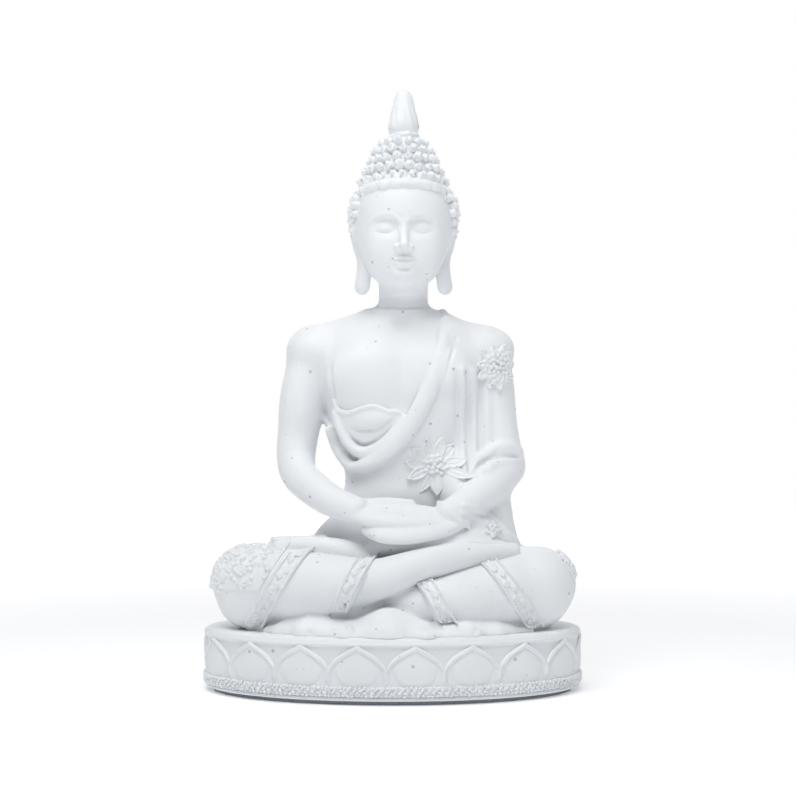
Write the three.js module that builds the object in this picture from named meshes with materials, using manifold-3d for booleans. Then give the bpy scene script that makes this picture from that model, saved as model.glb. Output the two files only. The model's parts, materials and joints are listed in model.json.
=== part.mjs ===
// Seated meditating figure on an oval lotus pedestal: a cast-stone statue put
// together from separate castings, applied ornaments and hidden steel dowels.
// Millimetres, +Z up, the figure faces -Y, origin at the centre of the felt's
// underside.
import * as THREE from "three";
import { mergeVertices } from "three/addons/utils/BufferGeometryUtils.js";
import Module from "manifold-3d";

const wasm = await Module();
wasm.setup();

// ---------------------------------------------------------------- dimensions
const BASE_A = 57.5; // half width of the pedestal
const BASE_B = 36.0; // half depth of the pedestal
const FELT_T = 1.0;
const BASE_TOP = 19.0;
const PETALS = 18;
const PETAL_FOOT = 5.5;
const PETAL_TIP = 17.5;
const GLUE = 0.3; // joint gap between castings
const SEAT_TOP = 21.9; // top of the cloth sheet that the figure sits on
const HEAD_X = 3.4; // head axis, to the left side of the figure

// ------------------------------------------------------------------- helpers
const V = (x, y, z) => new THREE.Vector3(x, y, z);

function solid(geometry, merge = 1e-4) {
  const g = new THREE.BufferGeometry();
  g.setAttribute("position", geometry.getAttribute("position").clone());
  if (geometry.index) g.setIndex(geometry.index.clone());
  const m = mergeVertices(g, merge);
  const tri = [];
  const ix = m.index.array;
  for (let i = 0; i < ix.length; i += 3)
    if (ix[i] !== ix[i + 1] && ix[i + 1] !== ix[i + 2] && ix[i] !== ix[i + 2])
      tri.push(ix[i], ix[i + 1], ix[i + 2]);
  // Turned the right way out if the signed volume is negative.
  const q = m.getAttribute("position").array;
  let vol = 0;
  for (let i = 0; i < tri.length; i += 3) {
    const [a, b, c] = [tri[i] * 3, tri[i + 1] * 3, tri[i + 2] * 3];
    vol +=
      q[a] * (q[b + 1] * q[c + 2] - q[b + 2] * q[c + 1]) -
      q[a + 1] * (q[b] * q[c + 2] - q[b + 2] * q[c]) +
      q[a + 2] * (q[b] * q[c + 1] - q[b + 1] * q[c]);
  }
  if (vol < 0)
    for (let i = 0; i < tri.length; i += 3)
      [tri[i + 1], tri[i + 2]] = [tri[i + 2], tri[i + 1]];
  return new wasm.Manifold(
    new wasm.Mesh({
      numProp: 3,
      vertProperties: new Float32Array(q),
      triVerts: new Uint32Array(tri),
    }),
  );
}

// A solid's skin as a geometry.
function shell(s) {
  const m = s.getMesh();
  const n = m.numProp;
  const p = new Float32Array(m.numVert * 3);
  for (let i = 0; i < m.numVert; i++)
    p.set(m.vertProperties.subarray(i * n, i * n + 3), i * 3);
  const g = new THREE.BufferGeometry();
  g.setAttribute("position", new THREE.BufferAttribute(p, 3));
  g.setIndex(new THREE.BufferAttribute(new Uint32Array(m.triVerts), 1));
  return g;
}

// The largest body of a solid.
function main(s) {
  const parts = s.decompose();
  return parts.reduce((a, b) => (b.volume() > a.volume() ? b : a));
}

const join = (...list) => list.reduce((a, b) => a.add(b));

// The solid with every vertex moved out along its normal.
function grow(s, d) {
  const m = s.getMesh();
  const n = m.numProp;
  const p = new Float32Array(m.numVert * 3);
  for (let i = 0; i < m.numVert; i++)
    p.set(m.vertProperties.subarray(i * n, i * n + 3), i * 3);
  const nor = new Float64Array(p.length);
  const t = m.triVerts;
  const a = V(),
    b = V(),
    c = V();
  for (let i = 0; i < t.length; i += 3) {
    a.fromArray(p, t[i] * 3);
    b.fromArray(p, t[i + 1] * 3);
    c.fromArray(p, t[i + 2] * 3);
    const u = b.clone().sub(a),
      v = c.clone().sub(a),
      w = c.clone().sub(b);
    const f = u.clone().cross(v);
    if (f.length() < 1e-12) continue;
    f.normalize();
    const ang = [u.angleTo(v), u.clone().negate().angleTo(w), v.angleTo(w)];
    for (let k = 0; k < 3; k++)
      for (let j = 0; j < 3; j++)
        nor[t[i + k] * 3 + j] += f.getComponent(j) * ang[k];
  }
  for (let i = 0; i < p.length; i += 3) {
    const l = Math.hypot(nor[i], nor[i + 1], nor[i + 2]) || 1;
    for (let j = 0; j < 3; j++) p[i + j] += (nor[i + j] / l) * d;
  }
  return new wasm.Manifold(
    new wasm.Mesh({ numProp: 3, vertProperties: p, triVerts: t }),
  );
}

// Fewer triangles on a finished piece: a vertex slides along an edge onto its
// neighbour where that leaves the surface within tol of where it was.
function thin(s, tol) {
  const m = s.getMesh();
  const n = m.numProp,
    P = [];
  for (let i = 0; i < m.numVert; i++)
    P.push(V(...m.vertProperties.subarray(i * n, i * n + 3)));
  const T = [],
    at = P.map(() => new Set());
  for (let i = 0; i < m.triVerts.length; i += 3) {
    const t = [m.triVerts[i], m.triVerts[i + 1], m.triVerts[i + 2]];
    t.forEach((v) => at[v].add(T.length));
    T.push(t);
  }
  const err = P.map(() => 0);
  const near = (v) => {
    const r = new Set();
    for (const f of at[v]) for (const w of T[f]) if (w !== v) r.add(w);
    return r;
  };
  const tri = new THREE.Triangle(),
    old = new THREE.Triangle(),
    q = V(),
    n0 = V(),
    n1 = V();
  for (let pass = 0; pass < 6; pass++) {
    let done = 0;
    const locked = new Set();
    for (let u = 0; u < P.length; u++) {
      if (!at[u].size || locked.has(u)) continue;
      const ring = near(u);
      let best = null;
      for (const v of ring) {
        const rv = near(v);
        let common = 0;
        for (const w of ring) if (rv.has(w)) common++;
        if (common !== 2) continue;
        let d = 0,
          ok = true;
        const before = [],
          after = [];
        for (const f of at[u]) {
          const t = T[f];
          before.push(
            new THREE.Triangle(P[t[0]], P[t[1]], P[t[2]]),
          );
          if (t.includes(v)) continue;
          const [a, b, c] = t.map((w) => P[w === u ? v : w]);
          tri.set(a, b, c);
          old.set(P[t[0]], P[t[1]], P[t[2]]);
          const e = Math.max(a.distanceTo(b), b.distanceTo(c), c.distanceTo(a));
          if (tri.getArea() < 0.006 * e * e + 1e-5) {
            ok = false;
            break;
          }
          tri.getNormal(n1);
          old.getNormal(n0);
          if (old.getArea() > 1e-6 && n1.dot(n0) < 0.75) {
            ok = false;
            break;
          }
          after.push(tri.clone());
        }
        if (!ok || !after.length) continue;
        const gap = (from, to) => {
          for (const t of from) {
            const pts = [
              t.getMidpoint(V()),
              t.a.clone().lerp(t.b, 0.5),
              t.b.clone().lerp(t.c, 0.5),
              t.c.clone().lerp(t.a, 0.5),
            ];
            for (const x of pts) {
              let near = Infinity;
              for (const o of to) {
                o.closestPointToPoint(x, q);
                near = Math.min(near, q.distanceTo(x));
              }
              d = Math.max(d, near);
            }
            if (d > tol) return;
          }
        };
        let near0 = Infinity;
        for (const o of after) {
          o.closestPointToPoint(P[u], q);
          near0 = Math.min(near0, q.distanceTo(P[u]));
        }
        d = near0;
        if (d + err[u] <= tol) gap(after, before);
        if (d + err[u] <= tol) gap(before, after);
        if (d + err[u] > tol) continue;
        if (!best || d < best.d) best = { v, d };
      }
      if (!best) continue;
      const { v, d } = best;
      for (const f of [...at[u]]) {
        if (T[f].includes(v)) {
          for (const w of T[f]) at[w].delete(f);
          T[f] = null;
        } else {
          T[f] = T[f].map((w) => (w === u ? v : w));
          at[v].add(f);
        }
      }
      at[u].clear();
      for (const w of ring) err[w] = Math.max(err[w], err[u] + d);
      locked.add(v);
      done++;
    }
    if (!done) break;
  }
  const map = new Map(),
    pos = [],
    idx = [];
  for (const t of T)
    if (t)
      for (const w of t) {
        if (!map.has(w)) {
          map.set(w, pos.length / 3);
          pos.push(P[w].x, P[w].y, P[w].z);
        }
        idx.push(map.get(w));
      }
  return new wasm.Manifold(
    new wasm.Mesh({
      numProp: 3,
      vertProperties: new Float32Array(pos),
      triVerts: new Uint32Array(idx),
    }),
  );
}

// A piece with room cut for the pieces already in place.
function fit(s, others, gap = GLUE) {
  let r = s;
  for (const o of others) r = r.subtract(grow(o, gap)).subtract(o);
  return main(r);
}

// A closed skin through rings of equal length, with a fan at each end.
function loft(rings) {
  const pos = [];
  const n = rings[0].length;
  for (const r of rings) for (const p of r) pos.push(p.x, p.y, p.z);
  const idx = [];
  for (let i = 0; i + 1 < rings.length; i++)
    for (let j = 0; j < n; j++) {
      const a = i * n + j,
        b = i * n + ((j + 1) % n),
        c = a + n,
        d = b + n;
      idx.push(a, b, d, a, d, c);
    }
  for (const [k, flip] of [
    [0, true],
    [rings.length - 1, false],
  ]) {
    const c = new THREE.Vector3();
    for (const p of rings[k]) c.add(p);
    c.divideScalar(n);
    const at = pos.length / 3;
    pos.push(c.x, c.y, c.z);
    for (let j = 0; j < n; j++) {
      const a = k * n + j,
        b = k * n + ((j + 1) % n);
      idx.push(...(flip ? [at, b, a] : [at, a, b]));
    }
  }
  const g = new THREE.BufferGeometry();
  g.setAttribute("position", new THREE.Float32BufferAttribute(pos, 3));
  g.setIndex(idx);
  return solid(g);
}

// A closed loop of sections, such as a band round the pedestal.
function loop(sections) {
  const pos = [];
  const n = sections[0].length,
    m = sections.length;
  for (const r of sections) for (const p of r) pos.push(p.x, p.y, p.z);
  const idx = [];
  for (let i = 0; i < m; i++)
    for (let j = 0; j < n; j++) {
      const a = i * n + j,
        b = i * n + ((j + 1) % n),
        c = ((i + 1) % m) * n + j,
        d = ((i + 1) % m) * n + ((j + 1) % n);
      idx.push(a, b, d, a, d, c);
    }
  const g = new THREE.BufferGeometry();
  g.setAttribute("position", new THREE.Float32BufferAttribute(pos, 3));
  g.setIndex(idx);
  return solid(g);
}

function moved(s, d) {
  const g = shell(s);
  g.translate(...d);
  return solid(g);
}

function ellipsoid(c, r, rot = [0, 0, 0], seg = 14, rings = 8) {
  const g = new THREE.SphereGeometry(1, seg, rings);
  g.rotateX(Math.PI / 2);
  g.scale(...r);
  g.applyMatrix4(
    new THREE.Matrix4().makeRotationFromEuler(new THREE.Euler(...rot)),
  );
  g.translate(...c);
  return solid(g);
}

function box(c, s, rot = [0, 0, 0]) {
  const g = new THREE.BoxGeometry(...s);
  g.applyMatrix4(
    new THREE.Matrix4().makeRotationFromEuler(new THREE.Euler(...rot)),
  );
  g.translate(...c);
  return solid(g);
}

// A round-ended limb along a smooth curve. Each station is [x, y, z, ra, rb]:
// ra lies level, rb is the other half width.
function limb(stations, seg = 10, steps = 7) {
  const curve = new THREE.CatmullRomCurve3(
    stations.map((s) => V(s[0], s[1], s[2])),
    false,
    "centripetal",
  );
  const at = (t, k) => {
    const f = t * (stations.length - 1),
      i = Math.min(stations.length - 2, Math.floor(f)),
      u = f - i,
      s = u * u * (3 - 2 * u);
    const r = (q) => (k === 3 ? q[3] : q[4] ?? q[3]);
    return r(stations[i]) * (1 - s) + r(stations[i + 1]) * s;
  };
  const rings = [];
  const ring = (c, dir, ra, rb) => {
    const side = dir.clone().cross(V(0, 0, 1));
    if (side.length() < 0.05) side.set(1, 0, 0);
    side.normalize();
    const up = side.clone().cross(dir).normalize();
    const pts = [];
    for (let j = 0; j < seg; j++) {
      const a = (j / seg) * Math.PI * 2;
      pts.push(
        c
          .clone()
          .addScaledVector(side, Math.cos(a) * ra)
          .addScaledVector(up, Math.sin(a) * rb),
      );
    }
    return pts;
  };
  const p0 = curve.getPoint(0),
    d0 = curve.getTangent(0),
    p1 = curve.getPoint(1),
    d1 = curve.getTangent(1);
  for (const a of [68, 32]) {
    const q = (a * Math.PI) / 180,
      k = Math.cos(q),
      l = Math.sin(q);
    rings.push(
      ring(
        p0.clone().addScaledVector(d0, -l * Math.min(at(0, 3), at(0, 4))),
        d0,
        k * at(0, 3),
        k * at(0, 4),
      ),
    );
  }
  for (let i = 0; i <= steps; i++) {
    const t = i / steps;
    rings.push(ring(curve.getPoint(t), curve.getTangent(t), at(t, 3), at(t, 4)));
  }
  for (const a of [32, 68]) {
    const q = (a * Math.PI) / 180,
      k = Math.cos(q),
      l = Math.sin(q);
    rings.push(
      ring(
        p1.clone().addScaledVector(d1, l * Math.min(at(1, 3), at(1, 4))),
        d1,
        k * at(1, 3),
        k * at(1, 4),
      ),
    );
  }
  return loft(rings);
}

// A point of the pedestal's oval, moved out by off.
function oval(t, off) {
  const x = BASE_A * Math.sin(t),
    y = -BASE_B * Math.cos(t);
  const nx = x / (BASE_A * BASE_A),
    ny = y / (BASE_B * BASE_B),
    l = Math.hypot(nx, ny);
  return [x + (nx / l) * off, y + (ny / l) * off];
}
// Parameters of points spaced evenly along the oval, from the front.
const evenly = (() => {
  const N = 2000,
    s = [0];
  for (let i = 1; i <= N; i++) {
    const a = oval(((i - 1) / N) * Math.PI * 2, 0),
      b = oval((i / N) * Math.PI * 2, 0);
    s.push(s[i - 1] + Math.hypot(a[0] - b[0], a[1] - b[1]));
  }
  return (len) => {
    const L = ((len % s[N]) + s[N]) % s[N];
    let i = 1;
    while (s[i] < L) i++;
    return ((i - 1 + (L - s[i - 1]) / (s[i] - s[i - 1])) / N) * Math.PI * 2;
  };
})();
const OVAL_LEN = (() => {
  let l = 0;
  for (let i = 0; i < 2000; i++) {
    const a = oval((i / 2000) * Math.PI * 2, 0),
      b = oval(((i + 1) / 2000) * Math.PI * 2, 0);
    l += Math.hypot(a[0] - b[0], a[1] - b[1]);
  }
  return l;
})();
const ovalRing = (off, z, n) =>
  Array.from({ length: n }, (_, i) => {
    const [x, y] = oval(evenly((i / n) * OVAL_LEN), off);
    return V(x, y, z);
  });

const superRing = (z, cx, cy, rx, ry, n = 18, e = 2.3) =>
  Array.from({ length: n }, (_, i) => {
    const a = (i / n) * Math.PI * 2;
    const c = Math.cos(a),
      s = Math.sin(a);
    return V(
      cx + Math.sign(c) * rx * Math.abs(c) ** (2 / e),
      cy + Math.sign(s) * ry * Math.abs(s) ** (2 / e),
      z,
    );
  });

// An upright prism of an outline in X and Z, between two depths.
function prism(outline, y0, y1) {
  const g = new THREE.ExtrudeGeometry(
    new THREE.Shape(outline.map(([x, z]) => new THREE.Vector2(x, z))),
    { depth: y1 - y0, bevelEnabled: false, steps: 1 },
  );
  g.rotateX(Math.PI / 2);
  g.translate(0, y1, 0);
  return solid(g);
}

function dowel(a, b, r) {
  const d = V(...b).sub(V(...a));
  const g = new THREE.CylinderGeometry(r, r, d.length(), 12);
  g.applyQuaternion(
    new THREE.Quaternion().setFromUnitVectors(
      V(0, 1, 0),
      d.clone().normalize(),
    ),
  );
  g.translate(...V(...a).addScaledVector(d, 0.5).toArray());
  return solid(g);
}

// ------------------------------------------------------------------- pieces
const S = {};

// Pedestal: a solid oval drum with a foot lip, a seat for the trim, a hollow
// cove behind the petals and a rounded top edge.
const DRUM = [
  [-1.6, FELT_T + GLUE],
  [-0.6, 1.7],
  [-0.6, 2.3],
  [-1.5, 2.5],
  [-1.6, 5.2],
  [-2.2, 5.5],
  [-2.0, 11],
  [-0.3, 16.4],
  [-0.3, 17.4],
  [-2.2, BASE_TOP],
];
const drum = (extra, n = 40) =>
  loft(DRUM.map(([o, z]) => ovalRing(o + extra, z, n)));
const feltRing = (z) => ovalRing(-2.6, z, 32);
S.felt_pad = loft([feltRing(0), feltRing(FELT_T)]);
S.base_pedestal = drum(0);

// Applied petals, each bent to the oval.
{
  const rows = [
    [0, 5.6, 0.7],
    [0.3, 8.0, 1.1],
    [0.62, 6.3, 1.0],
    [0.86, 2.6, 0.8],
    [1, 0.25, 0.45],
  ];
  const room = drum(0.42, 40);
  for (let k = 0; k < PETALS; k++) {
    const s0 = ((k + 0.5) / PETALS) * OVAL_LEN;
    const rings = rows.map(([v, w, bulge]) => {
      const z = PETAL_FOOT + v * (PETAL_TIP - PETAL_FOOT);
      const f = [-1, 0, 1];
      const at = (u, off) => {
        const [x, y] = oval(evenly(s0 + u * w), off);
        return V(x, y, z);
      };
      return [
        ...f.map((u) => at(u, -1 + bulge * (1 - 0.35 * u * u))),
        ...[0.8, -0.8].map((u) => at(u, -2.8)),
      ];
    });
    S[`lotus_petal_${String(k + 1).padStart(2, "0")}`] = main(
      loft(rings).subtract(room),
    );
  }
}

// Braided trim below the petals.
{
  const sec = [
    [-1.1, 2.7],
    [-0.1, 2.8],
    [0.35, 3.9],
    [-0.1, 5.0],
    [-1.1, 5.1],
  ];
  const n = 40;
  S.base_trim = loop(
    Array.from({ length: n }, (_, i) =>
      sec.map(([o, z]) => {
        const [x, y] = oval(evenly((i / n) * OVAL_LEN), o);
        return V(x, y, z);
      }),
    ),
  );
}

// Lower body: hips and thighs under the robe.
const FLOOR_CUT = box([0, 0, SEAT_TOP + GLUE + 0.1 - 50], [300, 300, 100]);
S.seat_body = main(
  join(
    ellipsoid([0, 8.5, 33], [26, 16.5, 15], [0, 0, 0], 16, 8),
    limb([
      [10, 5, 32, 11.5, 11],
      [28, 2, 31.5, 12, 11],
      [40, -1.5, 31, 11, 10.5],
    ]),
    limb([
      [-10, 5, 32, 11.5, 11],
      [-28, 2, 31.5, 12, 11],
      [-40, -1.5, 31, 11, 10.5],
    ]),
  ).subtract(FLOOR_CUT),
);

// Robe over each knee and shin.
const legRobe = (s, shin) =>
  join(
    limb(shin),
    ellipsoid([s * 42.5, -8.5, 33], [11, 12.5, 10.2]),
    ellipsoid([s * 40, -9, 25], [9, 9.5, 6]),
  ).subtract(FLOOR_CUT);
const robeR = main(
    legRobe(-1, [
      [-42, -9, 32, 11, 10.8],
      [-26, -17, 32.3, 9.4, 9.8],
      [-13, -22, 32.8, 7.4, 8],
    ]),
  ),
  robeL = main(
    legRobe(1, [
      [43, -9, 31.5, 11, 10.8],
      [27, -18, 29.8, 8.4, 8.6],
      [14, -22.5, 28.4, 6, 6.4],
    ]),
  );
S.right_leg_robe = fit(robeR, [S.seat_body]);
S.left_leg_robe = fit(robeL, [S.seat_body]);

// Bare shins and feet: the right one lies on top and its foot rests on the
// left thigh; the left one comes from under it.
S.right_shin_foot = fit(
  limb(
    [
      [-12, -21.5, 32, 6.2, 6.8],
      [0, -23, 34.4, 5.6, 6.2],
      [11, -22, 38.6, 4.8, 4.6],
      [25, -17.5, 41.6, 4.6, 3.4],
      [34.5, -14, 42.4, 4.2, 2.2],
    ],
    12,
    9,
  ),
  [S.right_leg_robe, S.left_leg_robe, S.seat_body],
);
S.left_shin_foot = fit(
  limb(
    [
      [13, -23.5, 26.5, 5.5, 5.5],
      [3, -21, 26.5, 6, 5.5],
      [-2, -12.5, 34, 5.2, 5],
      [-12, -13.5, 41.4, 4.6, 3.4],
      [-23, -13, 43.4, 4.4, 2.6],
      [-32, -12, 44.2, 3.8, 2],
    ],
    12,
    10,
  ),
  [S.right_leg_robe, S.left_leg_robe, S.seat_body, S.right_shin_foot],
);

// Torso.
const TORSO = [
  // z, cx, cy, rx, ry
  [42, 0.8, 7.5, 26, 15],
  [48, 1, 7, 22.5, 13.8],
  [54, 1.6, 6.5, 17, 12.6],
  [60, 1.7, 6, 15.2, 11.9],
  [65, 1.8, 6, 14.8, 11.7],
  [71, 2, 6, 16.9, 12.2],
  [78, 2.2, 5.8, 21, 12.9],
  [86, 2.4, 5.6, 22.6, 13.6],
  [94, 2.6, 5.8, 24.6, 13.8],
  [101, 2.7, 6.3, 26.2, 12.8],
  [106.5, 2.8, 7, 24.5, 11.2],
  [110.5, 2.9, 7.4, 19, 9.6],
  [113, 3, 7.4, 12.5, 8.4],
  [114.6, 3.1, 7.4, 8.8, 7.8],
];
const torsoLoft = (d) =>
  loft(TORSO.map(([z, cx, cy, rx, ry]) => superRing(z, cx, cy, rx + d, ry + d)));
const torsoRaw = torsoLoft(0);
S.torso = fit(torsoRaw, [S.seat_body, S.left_shin_foot, S.right_shin_foot]);

// Neck with its creases.
{
  const g = new THREE.LatheGeometry(
    [
      [0, 115],
      [8.3, 115],
      [7.9, 116.6],
      [7.5, 116.9],
      [7.8, 118.2],
      [7.8, 119.4],
      [7.4, 119.8],
      [7.5, 122.5],
      [0, 122.5],
    ].map(([r, z]) => new THREE.Vector2(r, z)),
    20,
  );
  g.rotateX(Math.PI / 2);
  g.translate(0, 7.2, 0);
  S.neck = solid(g);
}

// Head: skull, cheeks and jaw, with the nose as a soft ridge.
S.head = fit(
  join(
    ellipsoid([0, 4.5, 142], [15, 16.6, 15], [0, 0, 0], 16, 10),
    ellipsoid([0, 0, 136], [13.2, 13, 14.5], [0, 0, 0], 16, 10),
    ellipsoid([0, -2.6, 128.2], [8.2, 8.6, 7.6]),
    limb(
      [
        [0, -11.4, 141, 1.5],
        [0, -13.2, 137, 1.7],
        [0, -14.4, 133.8, 2.1],
      ],
      6,
      3,
    ),
    ellipsoid([-5.3, -10.3, 139.3], [3.5, 1.9, 1.8], [0, 0, 0], 10, 6),
    ellipsoid([5.3, -10.3, 139.3], [3.5, 1.9, 1.8], [0, 0, 0], 10, 6),
    ellipsoid([0, -12.1, 129.4], [3.4, 1.5, 0.9], [0, 0, 0], 10, 6),
    ellipsoid([0, -11.6, 127.7], [2.7, 1.5, 1], [0, 0, 0], 10, 6),
    ellipsoid([0, -8.8, 124], [3.4, 2.8, 2.8], [0, 0, 0], 10, 6),
  ),
  [S.neck],
);

// Long ears.
for (const [s, name] of [
  [1, "left_ear"],
  [-1, "right_ear"],
])
  S[name] = fit(
    join(
      limb(
        [
          [s * 14.4, 4.5, 146, 2.2, 1.4],
          [s * 14.2, 4, 140, 2.4, 1.5],
          [s * 13, 3.5, 133, 1.8, 1.6],
          [s * 12, 3, 127.5, 1.6, 2.2],
          [s * 11.6, 2.8, 124.2, 1.5, 2.4],
        ],
        8,
        6,
      ),
    ),
    [S.head, S.neck],
  );

// Hair: the cap of curls, the front band, the topknot and the flame finial.
const hairShape = ellipsoid([0, 5.4, 143.8], [17, 17.8, 15.4], [0, 0, 0], 20, 12);
const faceCut = join(
  prism(
    [
      [-12.4, 100],
      [-13.2, 140],
      [-12.8, 147],
      [-9.5, 152.6],
      [9.5, 152.6],
      [12.8, 147],
      [13.2, 140],
      [12.4, 100],
    ],
    -40,
    4,
  ),
  box([0, -20, 121], [60, 52, 36]),
  box([0, 0, 112], [60, 60, 36]),
);
S.hair_cap = fit(hairShape.subtract(faceCut), [
  S.head,
  S.neck,
  S.left_ear,
  S.right_ear,
], 0.6);
S.hair_band = fit(
  limb(
    [
      [-13, -5.6, 148, 0.9, 1.5],
      [-8.8, -8.2, 151.4, 0.9, 1.4],
      [0, -10.2, 152.8, 0.9, 1.4],
      [8.8, -8.2, 151.4, 0.9, 1.4],
      [13, -5.6, 148, 0.9, 1.5],
    ],
    6,
    10,
  ),
  [S.head, S.hair_cap],
);
{
  const g = new THREE.LatheGeometry(
    [
      [0, 153],
      [11.4, 153],
      [11.3, 158.5],
      [10.2, 162.5],
      [8.4, 166],
      [5.8, 168.6],
      [4.6, 169.2],
      [0, 169.2],
    ].map(([r, z]) => new THREE.Vector2(r, z)),
    24,
  );
  g.rotateX(Math.PI / 2);
  g.translate(0, 4.5, 0);
  S.topknot = fit(solid(g), [S.head, S.hair_cap]);
}
{
  const g = new THREE.LatheGeometry(
    [
      [0, 169.5],
      [4.2, 169.5],
      [4.3, 170.6],
      [4.9, 172.6],
      [4.7, 174.6],
      [4.0, 177.4],
      [3.4, 180],
      [2.7, 182.2],
      [1.5, 183.5],
      [0, 183.9],
    ].map(([r, z]) => new THREE.Vector2(r, z)),
    18,
  );
  g.rotateX(Math.PI / 2);
  g.translate(0, 4.5, 0);
  S.flame_finial = solid(g);
}

// The head and neck stand a little to the figure's left of the pedestal.
for (const n of [
  "head",
  "left_ear",
  "right_ear",
  "hair_cap",
  "hair_band",
  "topknot",
  "flame_finial",
])
  S[n] = moved(S[n], [HEAD_X, 0, 0]);
S.neck = moved(S.neck, [HEAD_X, 0, 0]);

// Bare right arm.
S.right_arm = fit(
  limb(
    [
      [-23.6, 7.5, 101.5, 8.2, 8.4],
      [-27.4, 7, 92, 7, 6.6],
      [-29.2, 5.5, 80, 6.2, 6],
      [-29.8, 3, 69.5, 5.6, 5.7],
      [-24.8, -5.5, 61.5, 4.9, 5.2],
      [-17.6, -12, 56.4, 4.4, 4.7],
      [-11.5, -15.5, 53.8, 4.2, 4.2],
    ],
    12,
    12,
  ),
  [S.torso, S.seat_body, S.left_shin_foot],
);

// Left forearm, from inside the sleeve to the wrist.
S.left_forearm = fit(
  limb(
    [
      [33.6, 2, 66, 6, 6.2],
      [29, -5, 61.5, 5.4, 5.8],
      [22.6, -11.5, 57, 4.4, 4.8],
      [17.5, -15.6, 54.2, 3.9, 4],
    ],
    10,
    6,
  ),
  [S.torso, S.seat_body, S.right_shin_foot],
);

// Hands, the right one resting in the left one.
S.right_hand = fit(
  limb(
    [
      [-8, -17.2, 53.3, 4.6, 3.9],
      [0, -18.6, 52.6, 5.6, 3.5],
      [9, -18.8, 52, 5.6, 2.9],
      [17.6, -17.8, 51.8, 4.4, 2],
    ],
    10,
    6,
  ),
  [S.right_arm, S.left_forearm, S.torso],
);
S.left_hand = fit(
  limb(
    [
      [18, -17, 50.6, 4.4, 3.2],
      [10, -19.2, 48.4, 5.8, 2.9],
      [1, -19.8, 47.6, 5.8, 2.5],
      [-7.5, -19, 48, 4.8, 2],
    ],
    10,
    6,
  ),
  [
    S.right_hand,
    S.right_arm,
    S.left_forearm,
    S.torso,
    S.seat_body,
    S.right_shin_foot,
    S.left_shin_foot,
  ],
);

// Upper robe: a skin round the torso, open over the right shoulder and chest.
const robeFront = prism(
  [
    [14.5, 122],
    [14.5, 111],
    [11.4, 98],
    [8.6, 88],
    [3, 78],
    [-4, 70],
    [-11, 67.4],
    [-16, 71.4],
    [-19, 80],
    [-40, 85],
    [-40, 40],
    [40, 40],
    [40, 122],
  ],
  -30,
  6,
);
const robeBack = prism(
  [
    [14.5, 122],
    [12, 110],
    [-16, 92],
    [-40, 84],
    [-40, 40],
    [40, 40],
    [40, 122],
  ],
  6,
  40,
);
S.upper_robe = fit(
  torsoLoft(1.7).intersect(robeFront.add(robeBack)),
  [
    S.torso,
    S.neck,
    S.seat_body,
    S.left_shin_foot,
    S.right_shin_foot,
    S.right_arm,
    S.left_forearm,
    S.right_hand,
    S.left_hand,
  ],
);

// Left sleeve, over the upper arm.
S.left_sleeve = fit(
  join(
    limb(
      [
        [28, 7.5, 101.5, 8.8, 9],
        [30, 7, 92, 8, 7.4],
        [31.1, 5, 80, 7.6, 7],
        [32.8, 2, 69.5, 7.4, 7],
      ],
      12,
      8,
    ),
    limb(
      [
        [35, 3, 71, 4.5, 3.5],
        [30.4, -5, 70, 4, 3],
        [25.8, -9, 66, 2.6, 2.2],
      ],
      10,
      6,
    ),
  ),
  [S.torso, S.upper_robe, S.left_forearm, S.neck],
);

// The end of the robe that falls from the forearm over the left thigh.
S.sleeve_drape = fit(
  join(
    limb(
      [
        [21, -10, 52.5, 3.4, 2.6],
        [28, -6.5, 49.5, 4.6, 3.4],
        [36, -4.5, 43.5, 4.4, 2.8],
        [39.5, -4, 41.4, 3, 1.8],
      ],
      10,
      7,
    ),
    limb(
      [
        [30.5, 1, 60, 3.6, 4],
        [30.8, -2, 50, 4.6, 5],
        [33, -2, 43.5, 5, 3],
      ],
      12,
      6,
    ),
  ),
  [
    S.left_forearm,
    S.left_sleeve,
    S.seat_body,
    S.left_leg_robe,
    S.right_shin_foot,
    S.left_hand,
    S.right_hand,
    S.torso,
    S.upper_robe,
  ],
);

// The broad folded border that crosses the chest and turns up at the right
// side. It follows the skin of the torso.
function skin(x, z, d) {
  let i = 0;
  while (i < TORSO.length - 2 && TORSO[i + 1][0] < z) i++;
  const a = TORSO[i],
    b = TORSO[i + 1],
    t = Math.min(1, Math.max(0, (z - a[0]) / (b[0] - a[0])));
  const m = a.map((v, k) => v * (1 - t) + b[k] * t);
  const rx = m[3] + d,
    ry = m[4] + d,
    u = Math.min(0.985, Math.abs(x - m[1]) / rx);
  return m[2] - ry * (1 - u ** 2.3) ** (1 / 2.3);
}
const sashLine = [
  [19, 111.5],
  [16.6, 105],
  [13.4, 97],
  [10.6, 90.5],
  [7, 83.5],
  [2.6, 76.5],
  [-3, 70.6],
  [-8.6, 67.4],
  [-12, 69],
  [-14.4, 72.4],
  [-16.6, 77],
  [-18, 82.5],
];
function sashBand(width, d0, d1) {
  const c = new THREE.CatmullRomCurve3(
    sashLine.map(([x, z]) => V(x, 0, z)),
    false,
    "centripetal",
  );
  const n = 16,
    rings = [];
  for (let i = 0; i <= n; i++) {
    const t = i / n,
      p = c.getPoint(t),
      k = c.getTangent(t);
    const w =
      (width / 2) * (1 - 0.35 * t) * Math.min(1, 0.55 + 4 * t, 0.55 + 4 * (1 - t));
    const sx = -k.z,
      sz = k.x;
    const row = [-1, -0.4, 0.4, 1];
    const at = (u, d) => {
      const x = p.x + sx * w * u,
        z = p.z + sz * w * u;
      return V(x, skin(x, z, d), z);
    };
    rings.push([
      ...row.map((u) => at(u, d0 + (d1 - d0) * (1 - 0.3 * u * u))),
      ...[0.92, -0.92].map((u) => at(u, d0 - 1)),
    ]);
  }
  return loft(rings);
}
const sashRaw = sashBand(9, 1.6, 3.2);
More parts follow.
